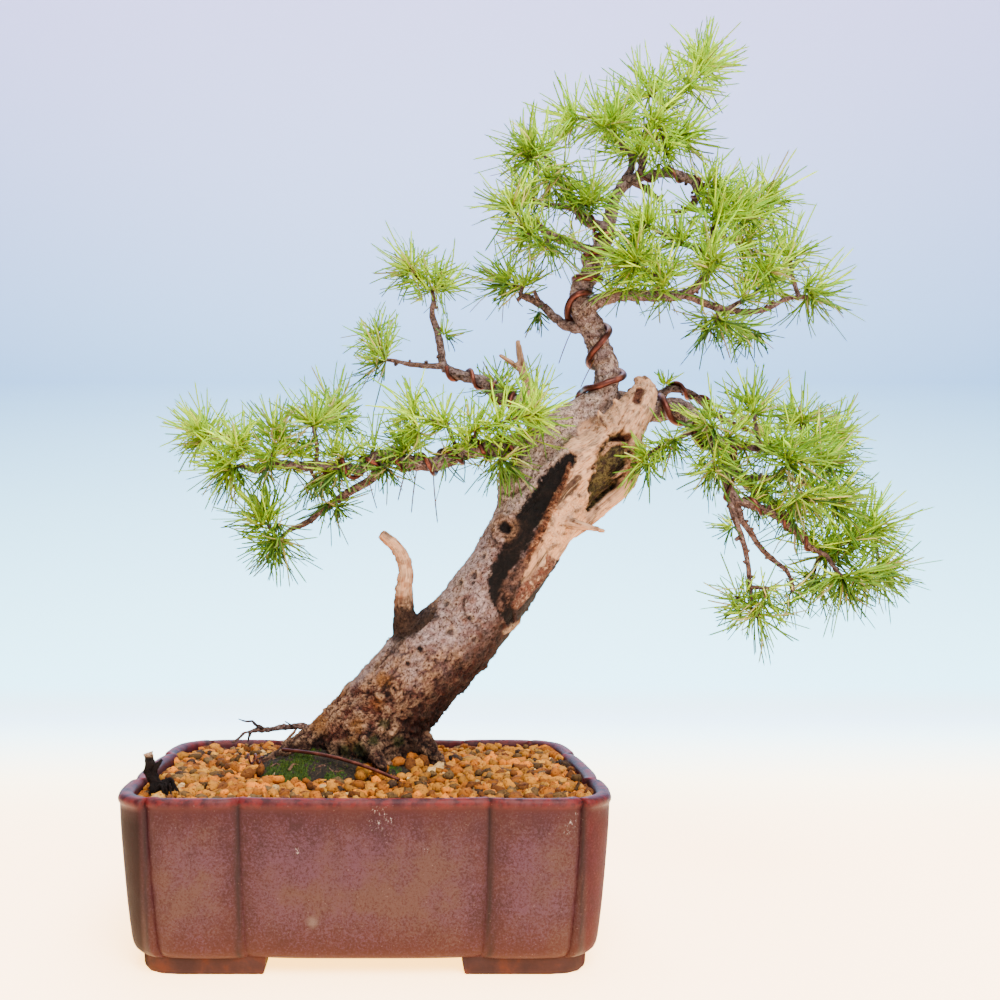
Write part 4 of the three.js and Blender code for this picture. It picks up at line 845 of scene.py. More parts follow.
base = glaze.mix(base, shade(20, 6, 8), speck.between(0.42, 0.3) * 0.6)
base = glaze.mix(base, shade(46, 9, 13), lip * (1 - edge) * 0.8)
# Painted highlight: a lighter pink in patches along the top edge of the lip.
base = glaze.mix(base, shade(120, 56, 54), edge * drift.between(0.4, 0.6) * 0.6)
# Painted shade: a dark line along each crease, in the groove.
base = glaze.mix(base, shade(18, 9, 13), crease * 0.8)
base = glaze.mix(base, shade(26, 11, 11), fleck.between(0.66, 0.74) * 0.6)
base = glaze.mix(base, shade(120, 96, 88), glaze.noise(1.1, 2, 0.7).between(0.7, 0.76) * 0.55)
bare = edge * glaze.noise(5, 3, 0.6).between(0.5, 0.6)
base = glaze.mix(base, shade(104, 16, 10), bare * 0.9)
dash = glaze.noise(0.9, 4, 0.8, stretch=(1, 1, 0.4))
dashed = dash.between(0.6, 0.66)
rubbed = dash.between(0.72, 0.76) * clouds.between(0.5, 0.6) * 0.6
for px, py, radius in CHALK:
    rubbed = rubbed + beside(glaze, px, py, radius) * dashed
base = glaze.mix(base, shade(170, 160, 158), rubbed * 0.7)
base = glaze.mix(base, shade(96, 86, 80), beside(glaze, 312, 925, 5) * 0.55)
foot_glaze = glaze.ramp(
    glaze.noise(12, 4, 0.6),
    (0.42, shade(38, 22, 23)), (0.56, shade(48, 27, 25)), (0.68, shade(66, 32, 22)),
)
base = glaze.mix(base, foot_glaze, foot_part * 0.9)
# Painted light from the right: the left lobe is darkened and the right lobe lightened. The same masks make
# both lobes a little rougher.
east = glaze.node("ShaderNodeSeparateXYZ", inputs={0: glaze.place})
wing_left, wing_right = place(-FAR_CREASE, 0, 0).x, place(FAR_CREASE, 0, 0).x
shaded_left_lobe = east.between(wing_left, wing_left - 4 * MM) * (1 - lip)
lit_right_lobe = east.between(wing_right, wing_right + 4 * MM) * (1 - lip)
base = glaze.mix(base, shade(130, 72, 80), shaded_left_lobe, "MULTIPLY")
base = glaze.mix(base, shade(260, 176, 192), lit_right_lobe, "MULTIPLY")
glaze.feed("Base Color", base)
dull = (shaded_left_lobe + lit_right_lobe) * 0.25
glaze.feed("Roughness", 0.34 + drift * 0.14 + speck * 0.16 + foot_part * 0.25 + dull)
glaze.bump(clouds * 0.9 + drift * 0.35 + speck * 0.2 + fleck * 0.05, 0.4)
use(pot, glaze, "glaze", "pot")
# %% [markdown]
# ## Clay granules
# The pot is filled with baked clay granules, 3 to 6 mm, most of them ochre, some burnt dark and
# a few pink. Under them lies a plain bed that closes the gaps. The granules could be spheres,
# but these are broken and tumbled: a cube is subdivided, drawn towards a ball and dented, four
# times over, and its copies are scattered on a jittered grid.

# %% Bed under the granules
SOIL_EDGE, SOIL_RISE = 81, 8
MOUND = {"x": -16, "y": 2, "across": 56, "deep": 44, "bottom": 77, "top": 98}


def soil_height(x, y):
    near = ((x + 4) / 62) ** 2 + ((y - 4) / 46) ** 2
    return SOIL_EDGE + SOIL_RISE * math.exp(-near)


def mound_height(x, y):
    ring = ((x - MOUND["x"]) / MOUND["across"]) ** 2 + ((y - MOUND["y"]) / MOUND["deep"]) ** 2
    return MOUND["bottom"] + (MOUND["top"] - MOUND["bottom"]) * math.sqrt(max(0, 1 - ring))


bed_rings = [pot_ring(17.2, 16.6), pot_ring(7.1, 79)]
for share in (0.98, 0.85, 0.7, 0.55, 0.4, 0.25, 0.12):
    ring = []
    for x, y in outline:
        x, y = x * 0.94 * share, y * 0.92 * share
        ring.append(place(x, y, soil_height(x, y) - 1.6))
    bed_rings.append(ring)
bed = raise_rings("soil_bed", bed_rings)

# %% Granule forms
def granule_form(seed):
    """A lump about 1 mm across, as (points, faces)."""
    bpy.ops.mesh.primitive_cube_add(size=1)
    thing = bpy.context.object
    bpy.ops.object.mode_set(mode="EDIT")
    bpy.ops.mesh.subdivide(number_cuts=1)
    bpy.ops.transform.tosphere(value=0.93)
    bpy.ops.object.mode_set(mode="OBJECT")
    points = []
    for vertex in thing.data.vertices:
        dent = noise.noise(vertex.co * 1.6 + Vector((seed * 7.1, 0, 0))) * 0.5
        dent += noise.noise(vertex.co * 3.9 + Vector((0, seed * 3.3, 0))) * 0.34
        points.append(vertex.co * (1.12 + dent))
    faces = [tuple(p.vertices) for p in thing.data.polygons]
    bpy.data.objects.remove(thing)
    return points, faces


granule_forms = [granule_form(seed) for seed in range(12)]
print("faces in a granule:", len(granule_forms[0][1]))

# %% [markdown]
# Each granule gets a size, a turn and a colour from a seeded list of random numbers, so that the
# picture is the same each time. They stop a little short of the wall, and leave room for the
# mound and the trunk.

# %% Scattered granules
GRANULE_TINTS = [
    (0.34, (152, 96, 26)), (0.54, (128, 70, 14)), (0.66, (180, 100, 16)), (0.78, (88, 48, 15)),
    (0.86, (160, 110, 38)), (0.92, (74, 52, 26)), (0.955, (44, 30, 20)), (0.98, (90, 68, 40)),
    (1.01, (180, 144, 92)),
]


def granule_tint(numbers):
    pick = numbers.random()
    colour = next(c for share, c in GRANULE_TINTS if pick < share)
    glow = numbers.uniform(0.65, 1.35)
    return (*(min(1, c * glow) for c in shade(*colour)[:3]), 1.0)


def inside_pot(x, y, margin):
    """True where a point is inside the pot's wall by more than margin mm."""
    if abs(x) > HALF_WIDTH - 6.5 - margin or abs(y) > HALF_DEPTH - 6.5 - margin:
        return False
    cx, cy = HALF_WIDTH - LOBE_RADIUS - 0.5, HALF_DEPTH - LOBE_RADIUS + 1.5
    if abs(x) > cx and abs(y) > cy:
        return math.hypot(abs(x) - cx, abs(y) - cy) < LOBE_RADIUS - 6.5 - margin
    return True


def soft_edge(x, y):
    """How likely a loose granule is on the mound: 1 at its rim, 0 well inside it."""
    return clamp(1.25 - (mound_height(x, y) - soil_height(x, y)) / 5)


def scatter_granules(name, spots, random_numbers):
    points, faces, tints = [], [], []
    for x, y, z, size in spots:
        form, form_faces = random_numbers.choice(granule_forms)
        turn = Matrix.Rotation(random_numbers.uniform(0, 6.3), 3, random_numbers.choice("XYZ"))
        turn = turn @ Matrix.Rotation(random_numbers.uniform(0, 6.3), 3, "Z")
        stretch = Vector((random_numbers.uniform(1.0, 1.5), 1, random_numbers.uniform(0.7, 1.0)))
        first = len(points)
        tint = granule_tint(random_numbers)
        for point in form:
            here = turn @ Vector((point[0] * stretch[0], point[1], point[2] * stretch[2])) * size
            points.append(place(x + here.x, y + here.y, z + here.z))
            # Painted shade: each granule's colour darkens towards its underside.
            low = 0.35 + 0.65 * clamp(here.z / size * 1.6 + 0.75)
            tints.append((tint[0] * low, tint[1] * low**1.2, tint[2] * low**1.3, 1.0))
        faces += [tuple(first + i for i in face) for face in form_faces]
    return new_mesh(name, points, faces, tints)


dice = random.Random(31)
spots = []
SPACING = 4.1
BARE_MOUND = 0.5
for j in range(-22, 23):
    for i in range(-31, 32):
        x = (i + (0.5 if j % 2 else 0)) * SPACING + dice.uniform(-1.1, 1.1)
        y = j * SPACING * 0.9 + dice.uniform(-1.1, 1.1)
        size = dice.choice((3.0, 3.4, 3.8, 4.2, 4.8, 5.4))
        if inside_pot(x, y, size * 0.45) and mound_height(x, y) < soil_height(x, y) + BARE_MOUND:
            spots.append((x, y, soil_height(x, y) - 0.6 + dice.uniform(-1.6, 1.2), size))
            if dice.random() < 0.22:
                top = soil_height(x, y) + 2.2 + dice.uniform(-0.4, 0.8)
                spots.append((x + dice.uniform(-2, 2), y + dice.uniform(-1, 1), top, size * 0.8))
for _ in range(90):
    x, y = dice.uniform(-4, 36), dice.uniform(-40, 4)
    if dice.random() < 0.2:
        x, y = dice.uniform(-66, -34), dice.uniform(-22, -4)
    size = dice.choice((3.6, 4.4, 5.2))
    if soft_edge(x, y) > dice.random():
        spots.append((x, y, mound_height(x, y) + size * 0.3, size))
spots = [s for s in spots if inside_pot(s[0], s[1], s[3] * 0.5)]
granules = scatter_granules("soil_granules", spots, dice)
print("granules:", len(spots))

# %% [markdown]
# Baked clay is dull and slightly porous: no gloss, a fine pitted relief, and colour that drifts
# within a granule. The bed below is the same clay, painted nearly black as painted shade in the
# gaps between the granules.

# %% Clay finish
clay = Finish("baked_clay", roughness=0.93, specular=0.14)
grain = clay.noise(1.6, 5, 0.7)
base = clay.mix(clay.painted("tint"), shade(120, 70, 40), grain.between(0.5, 0.66) * 0.9, "MULTIPLY")
base = clay.mix(base, shade(196, 136, 70), clay.noise(1.1, 4, 0.7).between(0.56, 0.72) * 0.3)
clay.feed("Base Color", base)
clay.bump(clay.noise(0.6, 3) * 0.3 - grain * 0.7, 0.9)
use(granules, clay, "akadama", "soil")
bed_shadow_clay = Finish("clay_bed_shadow", roughness=0.95, specular=0.2)
# Painted shade: the bed is nearly black, for the gaps between the granules.
shaded = bed_shadow_clay.ramp(bed_shadow_clay.noise(4), (0.35, shade(14, 9, 6)), (0.7, shade(40, 25, 14)))
bed_shadow_clay.feed("Base Color", shaded)
bed_shadow_clay.bump(bed_shadow_clay.noise(2.5, 4, 0.7), 1.2)
use(bed, bed_shadow_clay, "akadama", "soil")

# %% [markdown]
# ## Mound of earth and moss
# Round the trunk the old root ball rises as a mound of black earth, with cushions of moss and
# a few fine roots. A grid is drawn into a disc and lifted to the mound's height; a fine noise
# makes it crumbly. Moss is mostly a colour and a fuzz of short leaves, so some thousands of tiny
# leaves stand where the noise says green.

# %% Mound
MOSS_SPOTS = [
    (262, 752, 11), (276, 739, 9), (293, 734, 7), (300, 760, 14), (309, 752, 10), (284, 777, 13),
    (269, 779, 11), (252, 779, 7), (300, 781, 9), (331, 781, 8), (341, 777, 6), (374, 758, 8),
    (366, 751, 5), (392, 756, 6), (404, 752, 8), (413, 749, 5), (349, 747, 5), (250, 760, 7),
    (340, 790, 6), (395, 768, 5), (236, 760, 6),
]


def crumble(x, y):
    here = Vector((x, y, 0))
    lumps = noise.noise(here * 0.11) * 1.8 + noise.noise(here * 0.32) * 1.2
    return lumps + noise.noise(here * 0.8) * 0.8


def mound_surface(x, y):
    edge = ((x - MOUND["x"]) / MOUND["across"]) ** 2 + ((y - MOUND["y"]) / MOUND["deep"]) ** 2
    return mound_height(x, y) + crumble(x, y) * (1 - min(1, edge)) ** 0.3 * 0.9


def on_mound(px, py):
    """Where the line of sight through a pixel meets the mound or the granules."""
    for depth in range(-90, 60):
        x, z = seen(px, py, depth)
        if z < max(mound_surface(x, depth), soil_height(x, depth)):
            break
    return Vector((x, depth, z))


moss_places = [(on_mound(px, py), spread * PIXEL) for px, py, spread in MOSS_SPOTS]


def mossy(x, y):
    """How green the mound is at a place, from 0 to 1."""
    most = 0.0
    for spot, spread in moss_places:
        gap = math.hypot(x - spot.x, (y - spot.y) * 0.6)
        most = max(most, bell(gap, spread))
    behind = 0.5 if y > 8 else 0.0
    broad = noise.noise(Vector((x, y, 3)) * 0.1) * 0.35 + 0.06 + behind
    fine = noise.noise(Vector((x, y, 9)) * 0.45) * 0.9 + noise.noise(Vector((x, y, 2)) * 0.9) * 0.4
    return clamp((most + broad + fine - 0.36) * 2.4)


bpy.ops.mesh.primitive_grid_add(x_subdivisions=150, y_subdivisions=120, size=2)
mound = bpy.context.object
for vertex in mound.data.vertices:
    u, v = vertex.co.x, vertex.co.y
    x = MOUND["x"] + MOUND["across"] * u * math.sqrt(1 - v * v / 2)
    y = MOUND["y"] + MOUND["deep"] * v * math.sqrt(1 - u * u / 2)
    vertex.co = place(x, y, mound_surface(x, y))
bpy.ops.object.mode_set(mode="EDIT")
bpy.ops.mesh.select_all(action="DESELECT")
bpy.ops.mesh.select_non_manifold()
bpy.ops.mesh.extrude_region_move(TRANSFORM_OT_translate={"value": (0, 0, -7 * MM)})
bpy.ops.mesh.edge_face_add()
bpy.ops.mesh.select_all(action="SELECT")
bpy.ops.mesh.normals_make_consistent(inside=False)
bpy.ops.object.mode_set(mode="OBJECT")
mound.name = "mound_earth"
mound.data.shade_smooth()
greens = [mossy(*measured(v.co).xy) for v in mound.data.vertices]
paint(mound, "tint", [(g, g, g, 1) for g in greens])

# %% Moss leaves
MOSS_TINTS = ((38, 54, 6), (54, 74, 8), (24, 32, 8), (80, 94, 16), (34, 44, 8))
LEAF_FACES = ((0, 1, 3), (1, 2, 3), (2, 0, 3), (0, 2, 1))
dice = random.Random(77)
points, faces, tints = [], [], []
for _ in range(48000):
    x = MOUND["x"] + dice.uniform(-1, 1) * MOUND["across"]
    y = MOUND["y"] + dice.uniform(-1, 1) * MOUND["deep"]
    if mound_height(x, y) < soil_height(x, y) - 1 or mossy(x, y) < dice.uniform(0.2, 1.0):
        continue
    z = mound_surface(x, y)
    tall, wide, turn = dice.uniform(0.5, 1.3), dice.uniform(0.18, 0.3), dice.uniform(0, 6.3)
    lean = Vector((dice.uniform(-0.6, 0.6), dice.uniform(-0.6, 0.6), 1)) * tall
    first = len(points)
    for k in range(3):
        a = turn + k * 2.1
        points.append(place(x + wide * math.cos(a), y + wide * math.sin(a), z - 0.3))
    points.append(place(x + lean.x, y + lean.y, z + lean.z))
    faces += [tuple(first + i for i in face) for face in LEAF_FACES]
    glow = dice.uniform(0.6, 1.3)
    colour = tuple(c * glow for c in shade(*dice.choice(MOSS_TINTS))[:3])
    # Painted shade: the three foot points of each leaf are a third as bright as its tip.
    tints += [(*(c * 0.3 for c in colour), 1.0)] * 3 + [(*colour, 1.0)]
moss_leaves = new_mesh("moss_leaves", points, faces, tints, smooth=False)
print("moss leaves:", len(faces) // len(LEAF_FACES))

# %% Earth and moss finishes
earth = Finish("black_earth", roughness=0.95, specular=0.2)
green = earth.painted("tint", "Fac")
crumb = earth.noise(1.2, 5, 0.7)
soil_colour = earth.ramp(crumb, (0.36, shade(12, 9, 7)), (0.54, shade(30, 23, 16)), (0.68, shade(72, 54, 36)))
moss_colour = earth.ramp(earth.noise(0.8, 3), (0.3, shade(20, 30, 8)), (0.7, shade(52, 74, 18)))
earth.feed("Base Color", earth.mix(soil_colour, moss_colour, green.between(0.3, 0.7)))
earth.bump(crumb, 1.2)
use(mound, earth, "moss", "moss_mound")
moss = Finish("moss_leaf", roughness=0.8, specular=0.12)
moss_tint = moss.painted("tint")
sunny = moss.noise(6).between(0.5, 0.7) * 0.35
moss.feed("Base Color", moss.mix(moss_tint, shade(84, 96, 26), sunny))
use(moss_leaves, moss, "moss", "moss_mound")
# %% [markdown]
# ## The old wood
# The trunk, its roots, the dead top and the living vein grew as one body, so they are made as
# one: tubes along the routes are joined and wrapped by a Remesh modifier, which melts them
# together like wax, and a Smooth modifier takes the steps out. All the character comes next, as
# marks that are worked into this plain body.

# %% Plain body of the tree
SHARDS = {
    "shard_low": [(133, -8, 268, 5), (128.5, -9, 279, 2.4), (126.5, -9, 284, 0.9)],
    "shard_mid": [(141, -8, 279, 4.5), (137, -9, 286.5, 2.2), (135.5, -9, 290.5, 0.9)],
    "shard_top": [(149, -6, 289, 4), (147, -7, 295, 1.9), (146, -7, 298, 0.9)],
    "side_lip": [
        (147, -6, 274, 3), (149, -5, 264, 3.4), (148, -4, 253, 3.8), (143, -3, 242, 4.2),
        (132, -3, 232, 4.2), (121, -2, 222, 3.8), (107, -1, 210, 2),
    ],
    "hollow_back": [
        (141, 4, 274, 9), (143, 5, 262, 9), (140, 4, 250, 9), (134, 3, 240, 8), (125, 2, 230, 6.5),
        (113, 1, 218, 5),
    ],
    "tip": [(152, -4, 292, 5), (150.5, -4, 299, 3.2), (148.5, -4, 303, 2)],
}
CORE = {
    "trunk": trunk, "deadwood": deadwood, "living": living, "leader": leader[:9],
    **{f"root_{name}": route for name, route in roots.items()},
    **{f"stub_{name}": route for name, route in dead_stubs.items() if name != "deadTwig"},
    "stub_knot": [*dead_stubs["knot"], (127, -27, 216, 1.3)],
    "limb_left": branches["leftMain"][:4], "limb_upper": branches["upperLeft"][:3],
    "limb_bough": branches["bough"][:8], "limb_crown": branches["crownRight"][:3],
    **SHARDS,
}
VOXEL = 0.95
core_paths = {name: frames(glide(route, 2.5)) for name, route in CORE.items()}
body = join("tree_core", [tube(name, [s[:2] for s in path], 18) for name, path in core_paths.items()])
wrap = body.modifiers.new("wrap", "REMESH")
wrap.mode = "VOXEL"
wrap.voxel_size = VOXEL * MM
soften = body.modifiers.new("soften", "SMOOTH")
soften.factor = 0.6
soften.iterations = 5
select_only(body)
bpy.ops.object.modifier_apply(modifier="wrap")
bpy.ops.object.modifier_apply(modifier="soften")
print("points in the old wood:", len(body.data.vertices))

# %% [markdown]
# ### Where each mark lies
# The trunk's marks were noted from the front: a long black scar, an orange ridge of new bark on
# its right, a strip of bare pale wood, a knot, and the hollow in the dead top. Each is a line
# of (pixel, pixel, half width in pixels), turned into millimetres at the trunk's face. A point
# only takes a mark if it faces the front.

# %% Marks on the trunk
def mark(*points):
    return [(*seen(px, py), half * PIXEL) for px, py, half in points]


SCAR = mark(
    (569, 458, 7), (553, 480, 12), (533, 511, 13), (515, 545, 13), (501, 570, 10), (496, 589, 9),
    (504, 604, 9), (512, 620, 6),
)
RIDGE = mark(
    (570, 463, 2.2), (563, 484, 2.8), (553, 503, 3.4), (543, 526, 3.8), (534, 546, 3.6), (526, 560, 2.6),
)
LUMPS = mark((527, 560, 5), (517, 574, 8), (508, 592, 9), (504, 606, 6))
BURNT = mark((578, 479, 5), (568, 493, 6.5), (559, 506, 3))
BARE = mark(
    (604, 436, 24), (588, 474, 17), (574, 510, 15), (559, 532, 12), (545, 550, 9), (533, 567, 6),
    (524, 581, 3),
)
RIM = mark(
    (576, 528, 3), (569, 541, 5), (558, 552, 6), (547, 568, 7), (537, 582, 7), (525, 592, 8),
    (518, 604, 6),
)
SLATE = mark((564, 560, 4), (550, 580, 6), (538, 600, 7), (524, 616, 6))
LEDGE = mark((527, 621, 2.5), (516, 628, 3.5), (506, 633, 2.5))
HOLLOW = mark((620, 442, 12), (616, 455, 17), (612, 470, 17), (607, 483, 15), (600, 497, 9), (596, 505, 5))
HOLLOW_LIP = mark((606, 452, 2), (612, 443, 2.5), (622, 439, 2.5), (632, 443, 2))
STAIN = mark((617, 437, 2.5), (631, 436, 3.5))
TOP_HOLE = mark((644, 388, 4), (640, 398, 5))
CRACKS = [
    mark((467, 597, 0.7), (463, 606, 0.9), (466, 616, 0.9), (473, 624, 1), (481, 628, 0.8), (487, 634, 0.6)),
    mark((494, 526, 0.8), (493, 537, 1), (500, 544, 1.1), (508, 547, 0.9)),
    mark((503, 490, 0.8), (511, 494, 1.2), (523, 490, 1.3), (532, 478, 1.1), (536, 465, 0.9)),
    mark((419, 624, 1), (402, 644, 1.3), (390, 656, 1.2), (376, 670, 0.8)),
    mark((409, 631, 0.9), (396, 645, 1), (384, 662, 0.8)),
    mark((398, 668, 0.8), (386, 684, 1), (376, 704, 0.8)),
]
HOLES = [(420, 649, 3.2), (474, 700, 2), (446, 661, 2), (408, 664, 2.4), (474, 583, 1.8)]
STUB_BASE = [(403, 626, 9), (396, 638, 7), (412, 634, 5), (437, 618, 5)]
GOLD = [
    (318, 728, 11), (322, 706, 9), (352, 742, 8), (336, 696, 7), (357, 726, 7), (378, 705, 7), (383, 680, 8),
]
WRINKLED = [(337, 733, 10), (371, 709, 13), (357, 694, 7), (349, 715, 7)]
MOSSY_BARK = [(384, 724, 6), (374, 738, 6), (360, 748, 8), (345, 750, 6), (398, 742, 7)]
GREEN_VEIN = [(573, 440, 9), (566, 452, 8), (560, 462, 5)]
KNOT = seen(506, 527)
COLLAR = seen(437, 617)


def near_line(line, x, z):
    """How far a point is from a mark's middle line, as a share of its half width there."""
    best = 99.0
    for (x0, z0, w0), (x1, z1, w1) in zip(line, line[1:]):
        dx, dz = x1 - x0, z1 - z0
        t = clamp(((x - x0) * dx + (z - z0) * dz) / (dx * dx + dz * dz))
        gap = math.hypot(x - x0 - dx * t, z - z0 - dz * t) / (w0 + (w1 - w0) * t)
        best = min(best, gap)
    return best


def near_spot(spots, here):
    """1 in the middle of the nearest of some round patches, 0 outside, with ragged edges."""
    ragged = noise.noise(here * 0.4) * 0.4 + noise.noise(here * 1.1) * 0.3
    best = 0.0
    for px, py, radius in spots:
        x, z = seen(px, py)
        gap = math.hypot(here.x - x, here.z - z) / (radius * PIXEL) + ragged
        best = max(best, soft(1.3, 0.5, gap))
    return best


# %% [markdown]
# Larch bark changes with age. At the foot it is broken into thick, red-brown ridges with tan
# chips; half way up it is thin and grey-pink, with short crescents where buds once sat; the
# living vein is grey and flaky. A tree of the routes' points tells which limb a point of the
# skin belongs to, and which way the fibres run there.

# %% Fibres and crescents
# A station is a place on a limb's middle line: (limb, place, radius, along, side, other).
stations = [(name, *s) for name, path in core_paths.items() for s in path]
station_tree = spot_tree([station[1] for station in stations])


def station_near(here):
    """The number of the station whose limb has its surface nearest to a point."""
    found = station_tree.find_n(here, 10)
    return min(found, key=lambda f: f[2] - stations[f[1]][2])[1]


dice = random.Random(5)
crescents = []
for _ in range(150):
    spot, radius, fibre, side, other = dice.choice(core_paths["trunk"][8:])
    a = dice.uniform(0, 6.3)
    centre = spot + (side * math.cos(a) + other * math.sin(a)) * radius
    if all((centre - c).length > 7 for c, _ in crescents):
        crescents.append((centre, dice.uniform(1.5, 3.2)))
crescent_tree = spot_tree([centre for centre, _ in crescents])
print("crescents on the bark:", len(crescents))


def crescent_relief(here, fibre):
    """Lip of a crescent, and how far inside it a point lies."""
    centre, i, gap = crescent_tree.find(here)
    size = crescents[i][1]
    if gap > size * 2.2:
        return 0.0, 0.0
    up = (here - centre).dot(fibre)
    lip = bell(gap - size, 0.7) * soft(-0.6, 0.8, up / size + 0.35)
    return lip, soft(size, size * 0.4, gap)


# %% Relief and colour of the old wood
BARK = {
    "deep": (23, 11, 8), "red": (88, 40, 27), "brown": (101, 70, 57), "tan": (148, 108, 80),
    "chip": (172, 138, 110), "pink": (142, 120, 118), "grey": (168, 146, 134), "gold": (128, 82, 40),
    "lichen": (74, 66, 32), "black": (17, 12, 10), "orange": (106, 62, 40), "moss": (36, 42, 12),
    "bare": (166, 124, 94), "silver": (140, 110, 88), "crack": (46, 29, 22), "slate": (40, 33, 31),
}
BARK = {name: Vector(shade(*colour)[:3]) for name, colour in BARK.items()}


def fibre_noise(here, fibre, size, stretch=5.0, seed=0.0):
    """Noise that is drawn out along the fibres."""
    along = here.dot(fibre)
    spot = (here - fibre * along * (1 - 1 / stretch)) / size
    return noise.noise(spot + Vector((seed, seed, 0)))


def creases(here, fibre, size, stretch, seed=0.0):
    """Winding cracks: 1 in a crack, 0 beside it; and a noise that says how high a plate is."""
    drift = here + noise.noise_vector(here * 0.5 + Vector((seed, 0, 0))) * 1.5
    amount = fibre_noise(drift, fibre, size, stretch, seed)
    return soft(0.11, 0.01, abs(amount)), abs(amount)


def old_bark(here, fibre):
    """Foot of the trunk: ridges and chips."""
    wide_gap, high = creases(here, fibre, 5.6, 2.0)
    small_gap, low = creases(here, fibre, 2.1, 1.5, 5)
    fine = noise.noise(here * 1.3)
    broad = noise.noise(here * 0.14 + Vector((0, 7, 0)))
    top = high * 1.4 + low * 0.8 + fine * 0.35 - wide_gap * 0.5 - small_gap * 0.25
    lift = high * 3.0 + low * 1.0 + fine * 0.35 - wide_gap * 0.7 - small_gap * 0.35 - 0.6
    # The colour follows the relief: partly the bark's own red-brown and tan, partly painted shade in the
    # cracks and a painted highlight on the tops of the plates.
    colour = blend(BARK["deep"], BARK["red"], 0.45 + top * 1.4)
    colour = blend(colour, BARK["brown"], soft(-0.1, 0.5, top + broad * 0.6) * 0.8)
    colour = blend(colour, BARK["tan"], soft(0.2, 0.8, top + broad * 0.7) * 0.9)
    colour = blend(colour, blend(BARK["chip"], BARK["gold"], 0.35), soft(0.5, 0.95, top) * 0.85)
    return lift * 1.3, blend(colour, BARK["deep"], wide_gap * 0.92 + small_gap * 0.55)


def young_bark(here, fibre):
    """Middle of the trunk: thin, with crescents."""
    broad = noise.noise(here * 0.09 + Vector((3, 0, 0)))
    cloud = noise.noise(here * 0.3)
    fine = noise.noise(here * 1.2)
    gap, high = creases(here, fibre, 3.4, 1.2, 3)
    lip, bowl = crescent_relief(here, fibre)
    lift = cloud * 0.35 + fine * 0.3 + high * 1.1 - gap * 0.25 + lip * 1.1 - bowl * 1.0 - 0.2
    colour = blend(BARK["pink"], BARK["brown"], cloud * 1.1 + 0.3 + broad * 0.6)
    colour = blend(colour, BARK["grey"], soft(-0.1, 0.45, fine + broad * 0.4) * 0.5)
    colour = blend(colour, BARK["red"], soft(0.05, 0.4, noise.noise(here * 0.22 + Vector((0, 0, 8)))) * 0.45)
    colour = blend(colour, BARK["deep"], soft(0.15, 0.5, noise.noise(here * 0.75 + Vector((0, 6, 0)))) * 0.55)
    # Painted shade in the cracks and in the bowl of each crescent, and a painted highlight on its lip, over
    # the bark's own colours.
    colour = blend(colour, BARK["deep"], gap * 0.5 * soft(-0.1, 0.3, cloud) + bowl * 0.85)
    return lift, blend(colour, BARK["chip"], lip * 0.5)


def living_bark(here, fibre):
    """Living vein and the crown's thick limbs: grey flakes."""
    cloud = noise.noise(here * 0.33 + Vector((9, 0, 0)))
    fine = noise.noise(here * 1.4)
    gap, high = creases(here, fibre, 3.0, 1.6, 8)
    lift = cloud * 0.5 + fine * 0.25 + high * 1.3 - gap * 0.4 - 0.3
    colour = blend(BARK["grey"], BARK["chip"], cloud * 0.8 + 0.2)
    colour = blend(colour, BARK["pink"], soft(0.1, 0.4, high) * 0.6)
    colour = blend(colour, BARK["brown"], soft(0.05, 0.4, noise.noise(here * 0.2)) * 0.6)
    # Painted shade: darker in the cracks and where the fine relief sinks.
    return lift, blend(colour, BARK["deep"], gap * 0.65 + soft(0.2, 0.6, -fine) * 0.35)


def bare_wood(here, fibre):
    """Dead wood: bleached, with fine grain, long cracks and brown streaks."""
    grain = fibre_noise(here, fibre, 1.6, 9)
    wide = fibre_noise(here, fibre, 4.0, 6, 4)
    crack = soft(0.08, 0.0, abs(fibre_noise(here, fibre, 5, 7, 8)))
    lift = grain * 0.3 + wide * 0.9 - crack * 0.8
    colour = blend(BARK["bare"], BARK["silver"], wide + 0.4)
    colour = blend(colour, BARK["tan"], soft(0.1, 0.5, grain) * 0.3)
    return lift, blend(colour, BARK["crack"], crack * 0.7 + soft(0.12, 0.5, wide) * 0.55)


# %% [markdown]
# Now every point of the skin is moved and coloured. The order matters: the bark of the limb
# comes first, then bare wood over it, then the scar, the ridge and the rim, and the holes last,
# because a hole cuts through all of them. Relief is shallower on a thin limb. The front of the
# trunk is treated as one, of FRONT_RADIUS, so that its plates don't outdo its marks.

# %% Work the marks in
def trunk_bark(here, fibre):
    height = here.z + noise.noise(here * 0.07) * 22 - here.x * 0.12
    share = soft(128, 158, height)
    low_lift, low_colour = old_bark(here, fibre)
    high_lift, high_colour = young_bark(here, fibre)
    return low_lift + (high_lift - low_lift) * share, blend(low_colour, high_colour, share)


DEAD = ("deadwood", "stub_stub", "stub_fork", "stub_forkLeft", "stub_knot", *SHARDS)
DEAD_TOP = ("deadwood", "shard_low", "shard_mid", "shard_top", "tip", "hollow_back")
VEIN_TOP = 262
FRONT_RADIUS = 1.8


def scar_left(z):
    """The x of the scar's middle line at a height, or far left below it."""
    for (x0, z0, _), (x1, z1, _) in zip(SCAR, SCAR[1:]):
        if z1 <= z <= z0:
            return x0 + (x1 - x0) * (z0 - z) / (z0 - z1)
    return SCAR[0][0] if z > SCAR[0][1] else -99


